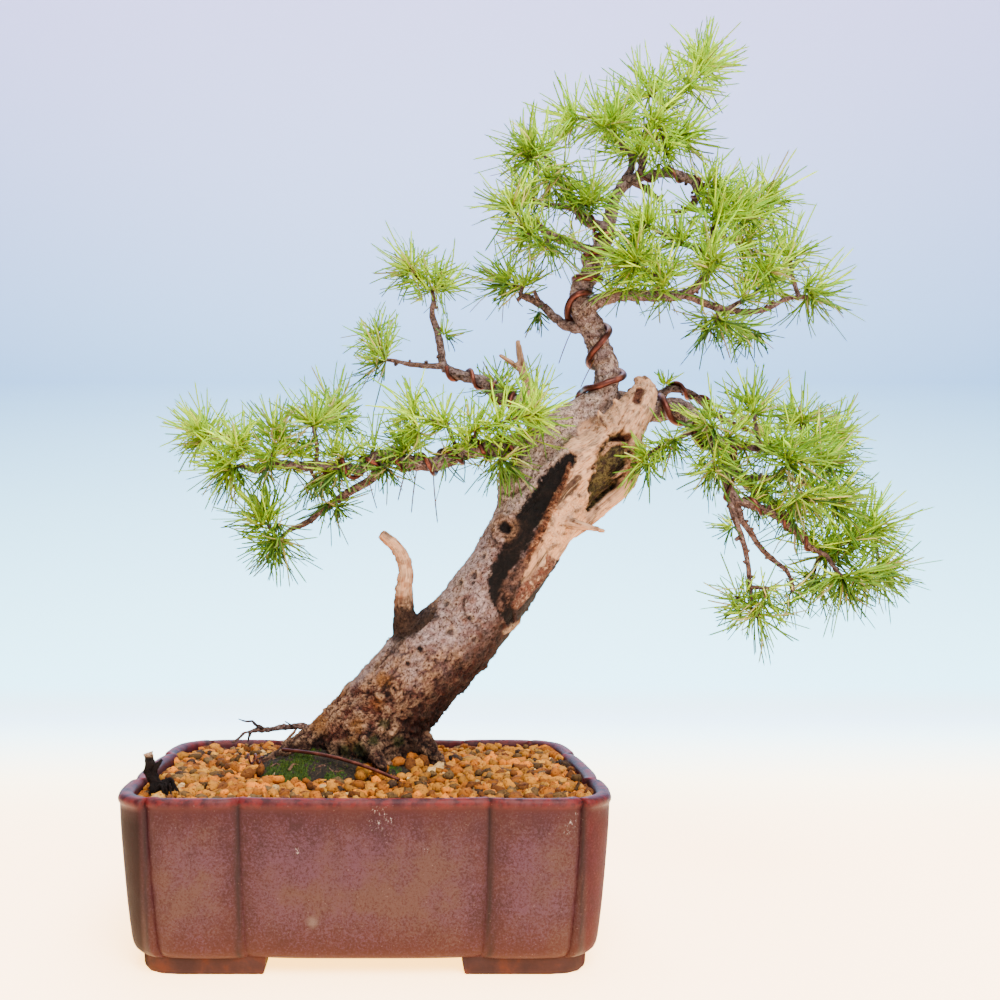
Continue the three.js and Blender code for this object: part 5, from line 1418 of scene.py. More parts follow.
class Skin:
    """One point of the tree's skin, while the bark and the marks are worked in."""

    def __init__(self, here, normal):
        self.station = station_near(here)
        self.limb, _, self.radius, self.fibre, _, _ = stations[self.station]
        self.here, self.normal = here, normal
        self.rough = noise.noise(here * 0.9) + noise.noise(here * 0.33)
        self.edge = noise.noise(here * 0.4) * 0.3 + noise.noise(here * 1.3) * 0.22
        self.front = soft(0.05, 0.4, -normal.y)
        self.lift = self.push = self.old = self.bare = self.wrinkle = 0.0
        self.colour = BARK["deep"]

    def tint(self, colour, amount):
        """Blends in a colour, which can be one of BARK's names."""
        self.colour = blend(self.colour, BARK[colour] if isinstance(colour, str) else colour, amount)

    def off(self, line):
        """How far the point is from a mark's middle line, in half widths."""
        return near_line(line, self.here.x, self.here.z)

    def on(self, line, out, full, waver=0.0):
        """How much of a mark the point has: 0 beyond out half widths, 1 within full, in front."""
        return soft(out, full, self.off(line) + waver) * self.front

    def along_limb(self):
        """The point as measured on its own limb: far along it, and to two sides."""
        _, spot, _, fibre, side, other = stations[self.station]
        off = self.here - spot
        return Vector((far_along[self.station] + off.dot(fibre), off.dot(side), off.dot(other))) * MM


def grow_bark(skin):
    """The bark or the bare wood of the limb that the point belongs to."""
    here, normal, fibre, rough = skin.here, skin.normal, skin.fibre, skin.rough
    if skin.limb in DEAD:
        skin.lift, skin.colour = bare_wood(here, fibre)
        skin.bare = 1.0
    elif skin.limb == "trunk" or skin.limb.startswith("root"):
        skin.lift, skin.colour = trunk_bark(here, fibre)
        skin.old = soft(165, 120, here.z + rough * 8)
        skin.tint("gold", near_spot(GOLD, here) * 0.75)
        skin.tint("grey", soft(0.35, 0.9, normal.z) * soft(120, 160, here.z) * 0.35)
        # Painted shade: faces that look down are painted dark red-brown, then darkened again; the next line
        # darkens the bark towards its foot.
        skin.tint(blend(BARK["red"], BARK["deep"], 0.75 + rough * 0.4), soft(0.2, -0.6, normal.z) * 0.95)
        skin.colour = skin.colour * (1 - 0.45 * soft(0.0, -0.7, normal.z))
        skin.tint("deep", soft(112, 98, here.z + rough * 3) * 0.6)
        skin.tint("moss", near_spot(MOSSY_BARK, here) * 0.8)
        skin.tint("deep", near_spot(STUB_BASE, here) * 0.8)
        skin.wrinkle = near_spot(WRINKLED, here) * soft(0.0, 0.4, -normal.y)
        skin.tint("red", skin.wrinkle * 0.5)
    else:
        skin.lift, skin.colour = living_bark(here, fibre)
        skin.tint("lichen", near_spot(GREEN_VEIN, here) * 0.8)
        skin.old = 0.35
    if skin.limb == "deadwood" and here.z < VEIN_TOP:
        if here.x < scar_left(here.z):
            skin.lift, skin.colour = living_bark(here, fibre)
            skin.bare = 0.0
        else:
            bark_lift, bark_colour = trunk_bark(here, fibre)
            back = soft(0.15, -0.15, -normal.y) * soft(VEIN_TOP, 246, here.z)
            skin.lift += (bark_lift - skin.lift) * back
            skin.tint(bark_colour, back)
            skin.bare -= back


def strip_and_scar(skin):
    """The bare strip down the front, the plates beside it, and the long black scar."""
    here, fibre, rough, front = skin.here, skin.fibre, skin.rough, skin.front
    slate = soft(1.2, 0.7, skin.off(SLATE) + rough * 0.15) * soft(-0.5, 0.0, -skin.normal.y)
    skin.tint(blend(BARK["slate"], BARK["deep"], rough * 0.5 + 0.2), slate * 0.85)
    right_of_scar = soft(-2, 2, here.x - scar_left(here.z))
    strip = skin.on(BARE, 1.12, 0.85, rough * 0.04) * right_of_scar
    bare_lift, bare_colour = bare_wood(here, fibre)
    skin.lift += (bare_lift * 0.6 - 1.3 - skin.lift) * strip
    skin.tint(bare_colour, strip)
    skin.bare = max(skin.bare, strip)
    gap = skin.off(SCAR)
    scar = soft(1.12, 0.84, gap + skin.edge) * front
    skin.lift += (rough * 0.7 + fibre_noise(here, fibre, 2.5, 5) - 1.9 - skin.lift) * scar
    skin.lift += 0.9 * bell(gap + skin.edge * 0.6 - 1.2, 0.16) * front * (0.6 + rough * 0.6)
    burn = fibre_noise(here, fibre, 2.2, 6, 3) + rough * 0.3
    skin.tint(blend(BARK["black"] * 0.5, BARK["crack"], burn * 0.35), scar)
    skin.old += (0.5 - skin.old) * scar
    skin.bare *= 1 - scar


def ridge_and_rim(skin):
    """What grew round the wound: lumps, the orange ridge, the rim of old bark and its ledge."""
    rough, front, edge = skin.rough, skin.front, skin.edge
    lumps = skin.on(LUMPS, 1.15, 0.7, edge)
    skin.lift += lumps * (1.2 + rough * 1.6)
    skin.tint(blend(BARK["deep"], BARK["brown"], 0.55 + rough), lumps * 0.9)
    skin.bare *= 1 - lumps
    ridge = skin.on(RIDGE, 1.15, 0.7, edge * 0.5)
    skin.lift += ridge * (2.2 + rough * 0.5)
    fresh = blend(BARK["orange"], BARK["tan"], soft(0.0, 0.6, rough) * 0.7)
    skin.tint(blend(fresh, BARK["deep"], soft(0.1, -0.7, rough) * 0.7), ridge)
    skin.wrinkle = max(skin.wrinkle, ridge * 0.75)
    skin.bare *= 1 - ridge
    burnt = skin.on(BURNT, 1.2, 0.85, rough * 0.15)
    skin.tint(blend(BARK["black"], BARK["crack"], 0.35 + rough * 0.3), burnt * 0.9)
    rim_gap = skin.off(RIM)
    rim = soft(1.2, 0.6, rim_gap + edge * 0.5) * soft(-0.35, 0.1, -skin.normal.y)
    skin.lift += rim * (1.5 + rough * 1.1)
    chips = blend(BARK["brown"], BARK["chip"], soft(0.2, 0.8, rough))
    skin.tint(blend(chips, BARK["red"], soft(0.2, -0.6, rough) * 0.7), rim)
    skin.tint("black", bell(rim_gap - 1.25, 0.2) * front * 0.8)
    ledge = soft(1.2, 0.6, skin.off(LEDGE) + edge * 0.4)
    skin.lift += ledge * 1.7
    skin.tint("chip", ledge * 0.7)


def cracks_and_holes(skin):
    here, front = skin.here, skin.front
    # The cracks are painted dark, partly their own colour and partly painted shade; the holes are painted
    # nearly black, as painted shade inside them.
    for line in CRACKS:
        gap = skin.off(line) + noise.noise(here * 0.8) * 0.3
        if gap < 4:
            skin.lift += (bell(gap - 2.4, 0.9) - 1.2 * soft(1.6, 0.4, gap)) * front * 0.8
            skin.tint("deep", soft(1.7, 0.6, gap) * 0.7 * front)
    for px, py, radius in HOLES:
        x, z = seen(px, py)
        gap = math.hypot(here.x - x, here.z - z) / (radius * PIXEL) + skin.rough * 0.2
        skin.push += 2.2 * soft(1.2, 0.6, gap) * front
        skin.lift += 0.9 * bell(gap - 1.6, 0.5) * front
        skin.tint(BARK["deep"] * 0.6, soft(1.3, 0.7, gap) * front)


def knot_hole(skin):
    """A healed knot: rings of bark round a small deep hole."""
    here, front = skin.here, skin.front
    knot = math.hypot(here.x - KNOT[0], (here.z - KNOT[1]) * 0.9)
    if knot >= 14:
        return
    wave = noise.noise(here * 0.4)
    rings = math.sin(knot * 2.1 + wave * 2) * math.exp(-knot / 6) * (0.6 + wave)
    skin.lift += (rings * 0.9 + 1.5 * bell(knot - 5.2 + wave, 1.8)) * front
    skin.tint("tan", soft(8, 5, knot) * 0.5)
    # Painted shade in the grooves between the rings.
    skin.tint("crack", soft(0.05, -0.3, rings) * 0.8)
    hole = soft(3.9, 2.3, knot + skin.rough * 0.7) * front
    skin.push += 5.5 * hole
    # Painted shade: the hole is painted nearly black.
    skin.tint(BARK["deep"] * 0.4, hole)


def hollow_top(skin):
    """The hollow in the dead top, its pale lip, and two stained holes."""
    here, rough, front = skin.here, skin.rough, skin.front
    hollow = skin.on(HOLLOW, 1.15, 0.75, rough * 0.22)
    skin.push += 6.5 * hollow
    # Inside the hollow: grey-green lichen, the wood's own colour, mixed with black, which is painted shade.
    grey_green = soft(-0.5, 0.5, rough + noise.noise(here * 2.1) * 0.8)
    skin.tint(blend(BARK["black"], BARK["lichen"], grey_green), hollow * 0.95)
    lip = skin.on(HOLLOW_LIP, 1.5, 0.6)
    skin.lift += lip * 1.6
    skin.tint("bare", lip * 0.9)
    stain = max(soft(1.3, 0.6, skin.off(STAIN)), soft(1.2, 0.6, skin.off(TOP_HOLE)))
    skin.push += 3 * stain * front
    skin.tint(blend(BARK["red"], BARK["black"], 0.5), stain * front * 0.9)
    skin.bare *= 1 - max(hollow, stain * front)


def burnt_stub(skin):
    base = soft(186, 172, skin.here.z + skin.rough * 6)
    skin.tint("orange", soft(-0.2, 0.4, fibre_noise(skin.here, skin.fibre, 3, 6, 5)) * 0.6)
    skin.tint("deep", base * 0.92)
    skin.bare *= 1 - base


def worked(here, normal):
    """The point's Skin, with all that lies there worked in."""
    skin = Skin(here, normal)
    facing = skin.front > 0
    grow_bark(skin)
    if skin.limb in ("trunk", "deadwood", "living") and facing:
        strip_and_scar(skin)
        ridge_and_rim(skin)
    if skin.limb in ("trunk", "living") and facing:
        cracks_and_holes(skin)
        skin.radius = FRONT_RADIUS
    if skin.limb in ("trunk", "deadwood", "living") and facing:
        knot_hole(skin)
    collar = math.hypot(here.x - COLLAR[0], here.z - COLLAR[1])
    if collar < 12 and skin.limb == "trunk":
        skin.lift += 2.4 * bell(collar, 5.5) * (1 + skin.rough)
    if skin.limb in DEAD_TOP and facing:
        hollow_top(skin)
    if skin.limb == "stub_stub":
        burnt_stub(skin)
    broad = noise.noise(here * 0.06 + Vector((0, 5, 0))) * 1.1 * soft(9, 18, skin.radius)
    skin.lift = skin.lift * (0.35 + 0.65 * min(1, skin.radius / 6)) + broad
    skin.push *= min(1, skin.radius / 9)
    return skin


far_along = []
for path in core_paths.values():
    walked = 0.0
    for k, station in enumerate(path):
        walked += (station[0] - path[max(0, k - 1)][0]).length
        far_along.append(walked)
tints, kinds, grains, moves = [], [], [], []
for vertex in body.data.vertices:
    skin = worked(measured(vertex.co), vertex.normal)
    moves.append(skin.normal * skin.lift + Vector((0, skin.push, 0)))
    tints.append((*skin.colour, 1.0))
    kinds.append((skin.old, max(0, skin.bare), skin.wrinkle, 1.0))
    grains.append(skin.along_limb())
for vertex, move in zip(body.data.vertices, moves):
    vertex.co += move * MM
paint(body, "tint", tints)
paint(body, "kind", kinds)
paint(body, "grain", grains, "FLOAT_VECTOR")
body.data.shade_smooth()

# %% [markdown]
# The mesh carries what is a millimetre or larger. What is finer comes from the shader, which
# reads how far a point is along its limb, so cracks and grain follow the wood as it bends.

# %% Bark finish
bark = Finish("larch_bark", roughness=0.85, specular=0.12)
tint = bark.painted("tint")
fibre = bark.painted("grain", "Vector")
old, bare, wrinkle = channels(bark, "kind")
flake = bark.noise(1.5, 6, 0.74, twist=0.6)
thread = bark.noise(1.0, 5, 0.7, stretch=(0.3, 1, 1), where=fibre, twist=0.8)
winding = bark.noise(2.4, 3, 0.6, stretch=(0.6, 1, 1), where=fibre, twist=1.2).contours(0.03)
pores = bark.noise(0.8, 4, 0.75)
barked = 1 - bare
# Painted shade and highlight: where flake is high the bump sinks the bark and the colour is darkened, where
# it is low the bark stands up and is lightened.
base = bark.mix(tint, shade(84, 66, 60), flake.between(0.5, 0.62) * barked * 0.95, "MULTIPLY")
base = bark.mix(base, (2.1, 1.95, 1.8, 1), flake.between(0.46, 0.34) * barked * 0.75, "MULTIPLY")
base = bark.mix(base, (2.4, 2.3, 2.2, 1), pores.between(0.6, 0.7) * barked * 0.5, "MULTIPLY")
base = bark.mix(base, shade(84, 66, 60), thread.between(0.54, 0.64) * (0.35 + old * 0.5) * barked, "MULTIPLY")
# The winding cracks are darkened where the bump sinks them: partly their own colour, partly painted shade.
base = bark.mix(base, shade(66, 50, 46), winding * (0.4 + old * 0.5) * barked, "MULTIPLY")
line = bark.noise(0.9, 4, 0.7, stretch=(0.05, 1, 1), where=fibre)
base = bark.mix(base, shade(190, 156, 128), line.between(0.5, 0.66) * bare * 0.9, "MULTIPLY")
base = bark.mix(base, shade(206, 170, 132), line.between(0.47, 0.36) * bare * 0.3)
base = bark.mix(base, shade(36, 22, 16), pores.between(0.66, 0.72) * bare * 0.8)
fold = bark.noise(0.6, 3, 0.7, stretch=(1, 0.2, 0.2), where=fibre, twist=0.5)
# Painted shade in the folds of the wrinkles, which the bump sinks, and a painted highlight on their crests.
base = bark.mix(base, shade(110, 80, 70), fold.between(0.5, 0.62) * wrinkle * 0.9, "MULTIPLY")
base = bark.mix(base, (2.0, 1.9, 1.8, 1), fold.between(0.46, 0.36) * wrinkle * 0.7, "MULTIPLY")
bark.feed("Base Color", base)
relief = (thread * 0.3 - flake * 1.2 + pores * 0.3 - winding * 0.4) * barked
relief = relief + (flake * -0.1 - line * 0.3) * bare - fold.between(0.45, 0.65) * wrinkle * 0.6
bark.bump(relief, 1.3)
use(body, bark, "bark", "tree")
# %% [markdown]
# ## Branches, twigs and spurs
# The thinner limbs are curves with a round bevel, turned into meshes. A larch carries its
# needles on short knobbly spurs that get longer by a hair each year, so knobs sit all along the
# branches. Young shoots are orange-brown, old ones grey.

# %% Branches
LIMB_STEP = 1.7


def limb_tint(radius, here):
    """Pink-grey with dark flakes where thick, dark brown where thin."""
    old = blend(BARK["pink"], BARK["brown"], 0.35 + noise.noise(here * 0.35) * 0.9)
    old = blend(old, BARK["chip"], soft(0.2, 0.6, noise.noise(here * 0.7 + Vector((4, 0, 0)))) * 0.5)
    young = blend(BARK["brown"], BARK["pink"], 0.3 + noise.noise(here * 0.5) * 0.9)
    young = blend(young, BARK["tan"], soft(0.1, 0.5, noise.noise(here * 0.9)) * 0.4)
    colour = blend(young, old, soft(1.5, 3.0, radius))
    dark = soft(-0.1, 0.4, noise.noise(here * 0.8 + Vector((0, 3, 0)))) * 0.75
    return blend(colour, BARK["deep"], dark * 0.8) * 0.9


def paint_limb(thing, path, tint=None):
    """Paints a limb's bark colour, and where each point lies along it."""
    framed = frames(path)
    line = spot_tree([spot for spot, _ in path])
    colours, grains = [], []
    for vertex in thing.data.vertices:
        here = measured(vertex.co)
        i = line.find(here)[1]
        spot, radius, fibre, side, other = framed[i]
        colour = limb_tint(radius, here)
        colours.append((*(blend(colour, BARK[tint], 0.75) if tint else colour), 1.0))
        off = here - spot
        along = i * LIMB_STEP + off.dot(fibre)
        grains.append((along * MM, off.dot(side) * MM, off.dot(other) * MM))
    paint(thing, "tint", colours)
    paint(thing, "kind", [(0.45, 0, 0, 1)] * len(colours))
    paint(thing, "grain", grains, "FLOAT_VECTOR")


def crooked(path, amount, seed):
    """A path that wanders a little, as a grown twig does, but keeps its two ends."""
    last = len(path) - 1
    bent = []
    for i, (spot, radius) in enumerate(path):
        share = min(1, 4 * i / last, 4 * (last - i) / last)
        wander = noise.noise_vector(spot * 0.11 + Vector((seed, 0, 0)))
        bent.append((spot + wander * amount * share, radius))
    return bent


def grow_limb(name, path, sides, wobble, seed, tint=None):
    thing = tube(name, path, sides, wobble, seed)
    paint_limb(thing, path, tint)
    return thing


routes = {**branches, "leader": leader, "dead_twig": dead_stubs["deadTwig"]}
limb_paths = {name: glide(route, LIMB_STEP) for name, route in routes.items()}
limb_things = []
for number, (name, path) in enumerate(limb_paths.items()):
    branch = name in branches
    sides = 12 if routes[name][1][3] > 3 or not branch else 8
    limb_things.append(grow_limb(name, path, sides, 0.22, number * 3.7 if branch else 50))
ROOT_TWIG = [
    (-20, 6, 104, 3), (-40, 9, 107, 1.7), (-53, 10, 106, 1.5), (-61, 11, 105, 1.6), (-66, 12, 103, 1.1),
    (-71, 13, 102.5, 0.9), (-75, 14, 99, 0.7), (-78, 14, 97, 0.5),
]
TWIGLETS = [
    [
        (-58, 11, 105, 1.2), (-63.4, 11, 107.2, 0.9), (-66.3, 11, 109.8, 0.7), (-70, 11, 110, 0.6),
        (-74, 11, 111, 0.3),
    ],
    [(-67.5, 12, 103, 0.9), (-68.5, 11, 98, 0.4)],
    [(-40, 5, 106, 0.8), (-42.9, 5, 107.9, 0.6), (-47, 5, 110.5, 0.35)],
]
for number, route in enumerate([ROOT_TWIG, *TWIGLETS]):
    path = crooked(glide(route, 1.2), 1.2, number * 5)
    tint = "deep" if number else None
    limb_things.append(grow_limb(f"root_twig_{number}", path, 8, 0.6, number, tint))
limbs = join("tree_limbs", limb_things)

# %% [markdown]
# A knob is the stump of a spur: a short drum, wider at the top, with a ring of old bud scales.
# Its rings are worked out once from a profile, and it is then set on the branches at odd spaces.

# %% Knobs
KNOB_PROFILE = [(0.62, -0.4), (0.66, 0.25), (0.84, 0.5), (0.72, 0.72), (0.86, 0.9), (0.5, 1.15)]
SIXTH = 1.0472
KNOB_POINTS, KNOB_FACES = [], []
for ring, (radius, z) in enumerate(KNOB_PROFILE):
    for k in range(6):
        KNOB_POINTS.append(Vector((radius * math.cos(k * SIXTH), radius * math.sin(k * SIXTH), z)))
        a, b = ring * 6 + k, ring * 6 + (k + 1) % 6
        if ring < len(KNOB_PROFILE) - 1:
            KNOB_FACES.append((a, b, b + 6, a + 6))
KNOB_FACES += [(5, 4, 3, 2, 1, 0), tuple(range(30, 36))]
knob_points, knob_faces, knob_tints = [], [], []


def set_knob(spot, direction, size, tall, dark):
    first = len(knob_points)
    turn = direction.to_track_quat("Z", "Y")
    for point in KNOB_POINTS:
        here = spot + turn @ Vector((point.x * size, point.y * size, point.z * tall))
        knob_points.append(place(*here))
        knob_tints.append((*blend(limb_tint(1.6, here), BARK["deep"], dark), 1.0))
    knob_faces.extend(tuple(first + i for i in face) for face in KNOB_FACES)


dice = random.Random(14)
for name, path in limb_paths.items():
    if name == "dead_twig":
        continue
    walked = 0.0
    for spot, radius, along, side, other in frames(path)[3:-1]:
        walked += LIMB_STEP
        if walked > dice.uniform(4.5, 11) and radius < 4.5:
            a = dice.uniform(0, 6.3)
            out = (side * math.cos(a) + other * math.sin(a) + along * 0.5).normalized()
            size = dice.uniform(1.0, 1.7)
            set_knob(spot + out * radius * 0.8, out, size, dice.uniform(1.0, 2.6), 0.35)
            walked = 0.0
print("knobs on the branches:", len(knob_faces) // len(KNOB_FACES))

# %% [markdown]
# The twigs that carry the needle sprays: each leaves the living limb that is nearest to its first
# tuft, bends a little, and runs through the spray's tufts.

# %% Spray twigs
twig_things = []
bearing = [spot for name, path in limb_paths.items() if name != "dead_twig" for spot, _ in path]
for number, (name, tufts) in enumerate(sprays.items()):
    stops = [Vector(t[0]) for t in tufts]
    stops.insert(0, min(bearing, key=lambda spot: (spot - stops[0]).length))
    for k, (start, end) in enumerate(zip(stops, stops[1:])):
        sag = noise.noise_vector(end * 0.13) * min(3.5, (end - start).length * 0.14)
        middle = (start + end) / 2 + sag
        thick = 1.35 if k == 0 else 0.95
        route = [(*start, thick), (*middle, thick * 0.85), (*end, thick * 0.8)]
        twig_things.append(grow_limb(f"twig_{name}_{k}", glide(route, 2.2), 6, 0.3, number))
        axis = (end - middle).normalized()
        set_knob(end - axis * 1.2, axis, 1.45, 2.2, 0.2)
twigs = join("tree_twigs", twig_things)
knobs = new_mesh("tree_knobs", knob_points, knob_faces, knob_tints)
for thing in (limbs, twigs, knobs):
    thing.data.shade_smooth()
    use(thing, bark, "bark", "tree")

# %% [markdown]
# ## Copper wire
# Annealed copper wire is wound round the limbs that are being bent. It starts bright, darkens
# to red-brown within a year, and shines where it was rubbed. A wire is a helix on the branch's
# own frame: each turn is set by where it crosses the front, and the wire is pushed out of any
# other limb it would run through.

# %% Wire routes
limb_cloud = [(name, spot, radius) for name, path in limb_paths.items() for spot, radius in path]
limb_cloud += [(name, s[0], s[1]) for name, path in core_paths.items() for s in path]
cloud_tree = spot_tree([spot for _, spot, _ in limb_cloud])
LARGEST_PUSH = 2.5


def push_clear(spot, wire_radius):
    """Moves a point of a wire out of a limb that it would touch, but never far."""
    start = spot
    for _ in range(3):
        for centre, i, gap in cloud_tree.find_n(spot, 6):
            need = limb_cloud[i][2] * 1.03 + wire_radius
            if gap < need and gap > 1e-6:
                spot = centre + (spot - centre) * (need / gap)
    move = spot - start
    return start + move * min(1, LARGEST_PUSH / max(move.length, 1e-6))


def wound(route, start, end, turns, phase, wire_radius, passes=None):
    """A wire's path on a limb. passes are the shares of the route where it crosses the front."""
    framed = frames(glide(route, 1.2))
    last = len(framed) - 1
    path = []
    steps = round(abs(turns) * 26)
    for i in range(steps + 1):
        share = start + (end - start) * i / steps
        angle = phase + turns * 2 * math.pi * i / steps
        if passes:
            angle = math.pi + 2 * math.pi * turns_at(share, passes)
        spot, radius, _, side, other = framed[round(share * last)]
        out = side * math.cos(angle) + other * math.sin(angle)
        path.append((push_clear(spot + out * (radius * 1.04 + wire_radius), wire_radius), wire_radius))
    return even(path)


def turns_at(share, passes):
    """How many turns a wire has made at a share of its route, from where it crosses the front."""
    if share <= passes[0]:
        return (share - passes[0]) / max(1e-3, passes[1] - passes[0])
    for k, (a, b) in enumerate(zip(passes, passes[1:])):
        if share <= b:
            return k + (share - a) / (b - a)
    return len(passes) - 1 + (share - passes[-1]) / (passes[-1] - passes[-2])


def even(path):
    """Smooths a path: each point moves to the mean of its neighbours, three times."""
    for _ in range(3):
        middle = [((a[0] + b[0] * 2 + c[0]) / 4, b[1]) for a, b, c in zip(path, path[1:], path[2:])]
        path = [path[0], *middle, path[-1]]
    return path


vein_and_leader = [*living[3:-1], *leader]
WIRES = {
    "wire_leader": (vein_and_leader, 0.05, 0.82, 6, 1.2, 1.9),
    "wire_left": (branches["leftMain"], 0.1, 0.72, 7, 2, 1.4),
    "wire_upper_left": (branches["upperLeft"], 0.12, 0.62, 3.5, 0, 1.3),
    "wire_crown_left": (branches["crownA"], 0.12, 0.92, 3.5, 0.5, 0.9),
    "wire_bough": (branches["bough"], 0.18, 0.62, 3.5, 2.4, 1.9),
    "wire_thin_upper": (branches["thinUpper"], 0.12, 0.72, 3, 1, 1.3),
    "wire_bough_front": (branches["boughFront"], 0.1, 0.9, 4, 0, 1),
    "wire_loop": (branches["loop"], 0.2, 0.75, 2.5, 2.6, 0.9),
}


def share_near(route, px, py):
    """The share of a route at the place that a pixel shows."""
    path = glide(route, 1.2)
    gaps = []
    for i, (spot, _) in enumerate(path):
        x, z = seen(px, py, spot.y)
        gaps.append((math.hypot(spot.x - x, spot.z - z), i))
    return min(gaps)[1] / (len(path) - 1)


LEADER_CROSSINGS = [(556, 436), (606, 384), (602, 345), (578, 296), (586, 281), (600, 254), (603, 237)]
passes = {"wire_leader": [share_near(vein_and_leader, *p) for p in LEADER_CROSSINGS]}
print("leader wire crosses the front at", [round(p, 2) for p in passes["wire_leader"]])

# %% Wires
copper = Finish("annealed_copper", metallic=0.8, roughness=0.34)
patina = copper.noise(6, 4, 0.6)
base = copper.ramp(patina, (0.35, shade(54, 24, 19)), (0.5, shade(72, 33, 25)), (0.66, shade(112, 60, 45)))
base = copper.mix(base, shade(44, 22, 18), copper.noise(2.2, 4, 0.7).between(0.54, 0.7) * 0.7)
copper.feed("Base Color", base)
copper.feed("Roughness", 0.3 + patina * 0.25)
copper.bump(copper.noise(1.1, 3), 0.08)
for name, (route, start, end, turns, phase, radius) in WIRES.items():
    path = wound(route, start, end, turns, phase, radius, passes.get(name))
    wire = tube(f"{name}_fine", path, 14)
    wire.data.shade_smooth()
    use(wire, copper, "copper_wire", *([name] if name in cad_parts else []))

# %% [markdown]
# One cut length lies across the mound, slightly bowed, and the end of another curls out of the
# moss.

# %% Loose wire
loose = []
for i in range(41):
    t = i / 40
    x, y = -46 + 63 * t, -17 - 29 * t
    bowed = 97.2 - 10.5 * t + 3.2 * math.sin(math.pi * t)
    z = max(mound_height(x, y) + 1.2, soil_height(x, y) + 1.6, bowed)
    loose.append((Vector((x, y, z + 1)), 1.0))
wire = tube("wire_loose_fine", even(loose), 12)
wire.data.shade_smooth()
use(wire, copper, "copper_wire", "wire_loose")
COIL_DEPTH, COIL_RADIUS = -36, 2.4
coil_x, coil_z = seen(254, 757, COIL_DEPTH)
coil = []
for i in range(40):
    a = i / 39 * 13
    y, z = COIL_DEPTH + COIL_RADIUS * math.cos(a), coil_z - 1 + COIL_RADIUS * math.sin(a)
    coil.append((Vector((coil_x - 4 + i * 0.2, y, z)), 0.6))
coil_wire = tube("wire_end_curl", coil, 8)
coil_wire.data.shade_smooth()
use(coil_wire, copper, "copper_wire")

# %% [markdown]
# ## Roots on the mound
# Fine roots creep over the moss, a stout one leaves the trunk to the right, and a beard of dark
# ones hangs under the trunk. Each is a row of pixels that is laid on the mound.

# %% Surface roots
SURFACE_ROOTS = [
    ("tan", 2.5, [(360, 741), (369, 749), (378, 757), (391, 767)]),
    ("tan", 1.5, [(258, 766), (266, 760), (276, 756), (286, 751)]),
    ("deep", 1.2, [(245, 779), (249, 770), (255, 763), (265, 756)]),
    ("tan", 1.3, [(283, 745), (288, 739), (296, 730)]),
    ("tan", 0.8, [(289, 771), (294, 765), (300, 766)]),
    ("brown", 0.6, [(270, 768), (277, 764), (283, 775)]),
    ("chip", 0.5, [(273, 776), (279, 768), (287, 764)]),
    ("chip", 0.5, [(418, 741), (428, 747), (431, 754), (430, 762)]),
    ("brown", 0.7, [(312, 770), (324, 766), (334, 772), (347, 770)]),
    ("deep", 0.8, [(344, 742), (352, 751), (358, 762), (356, 772)]),
    ("tan", 0.5, [(300, 742), (306, 747), (312, 757)]),
]


def surface_root(number, tint, radius, pixels):
    spots = [on_mound(*pixel) for pixel in pixels]
    shares = [1 - 0.5 * k / (len(spots) - 1) for k in range(len(spots))]
    route = [(s.x, s.y, s.z + radius * 0.35, radius * share) for s, share in zip(spots, shares)]
    path = crooked(glide(route, 1.2), radius * 0.7, number)
    return grow_limb(f"surface_root_{number}", path, 8, 0.5, number, tint)


dice = random.Random(61)
root_things = [surface_root(k, *row) for k, row in enumerate(SURFACE_ROOTS)]
for k in range(26):
    px = 398 + dice.uniform(0, 26)
    x, z = seen(px, dice.uniform(728, 738), 0)
    end = on_mound(px + dice.uniform(-5, 7), dice.uniform(746, 757))
    middle = (Vector((x, 0, z)) + end) / 2 + Vector((dice.uniform(-2, 2), dice.uniform(-2, 0), 0))
    route = [(x, 2, z, 0.8), (*middle, 0.6), (*end, 0.35)]
    path = crooked(glide(route, 1.2), 1.4, k * 2.3)
    root_things.append(grow_limb(f"beard_{k}", path, 6, 0.4, k, "deep"))
fine_roots = join("tree_fine_roots", root_things)
fine_roots.data.shade_smooth()
use(fine_roots, bark, "bark")

# %% [markdown]
# ## Old root in the corner
# A dead root stands up in the front left corner, black with a pale broken tip.

# %% Corner root
CORNER_ROOT = [(-104, -60, 74, 3), (-105, -60, 86, 2.8), (-107.5, -60, 97, 2.3), (-109, -60, 104, 2)]
CORNER_FORK = [(-106, -60, 92, 1.6), (-104, -61, 98, 1.2), (-101.5, -61, 101, 0.7)]
CORNER_SIDE = [(-105, -60, 84, 2), (-100, -58, 84, 1.6), (-95, -57, 82, 0.9)]
root = tube("corner_root_old", crooked(glide(CORNER_ROOT, 0.8), 2.0, 4), 16, 0.7, 3)
fork = tube("corner_fork", glide(CORNER_FORK, 0.8), 8, 0.5, 8)
side_root = tube("corner_side", glide(CORNER_SIDE, 0.8), 8, 0.5, 9)
dice = random.Random(19)
tangle = []
for k in range(14):
    x, y = dice.uniform(-106, -98), dice.uniform(-66, -54)
    turn = dice.uniform(-1, 1)
    ends = (x + 7 * math.cos(turn), y + 7 * math.sin(turn))
    middle = ((x + ends[0]) / 2, (y + ends[1]) / 2, 88 + dice.uniform(-1, 4))
    route = [(x, y, 84, 0.8), (*middle, 0.7), (*ends, 83, 0.4)]
    tangle.append(tube(f"tangle_{k}", crooked(glide(route, 0.8), 1.6, k), 6, 0.4, k))
root = join("corner_root_old", [root, fork, side_root, *tangle])
root_tints = []
for vertex in root.data.vertices:
    here = measured(vertex.co)
    colour = blend(BARK["black"], BARK["deep"], 0.5 + noise.noise(here * 0.8))
    root_tints.append((*blend(colour, BARK["chip"], soft(102, 103.6, here.z)), 1.0))
paint(root, "tint", root_tints)
root.data.shade_smooth()
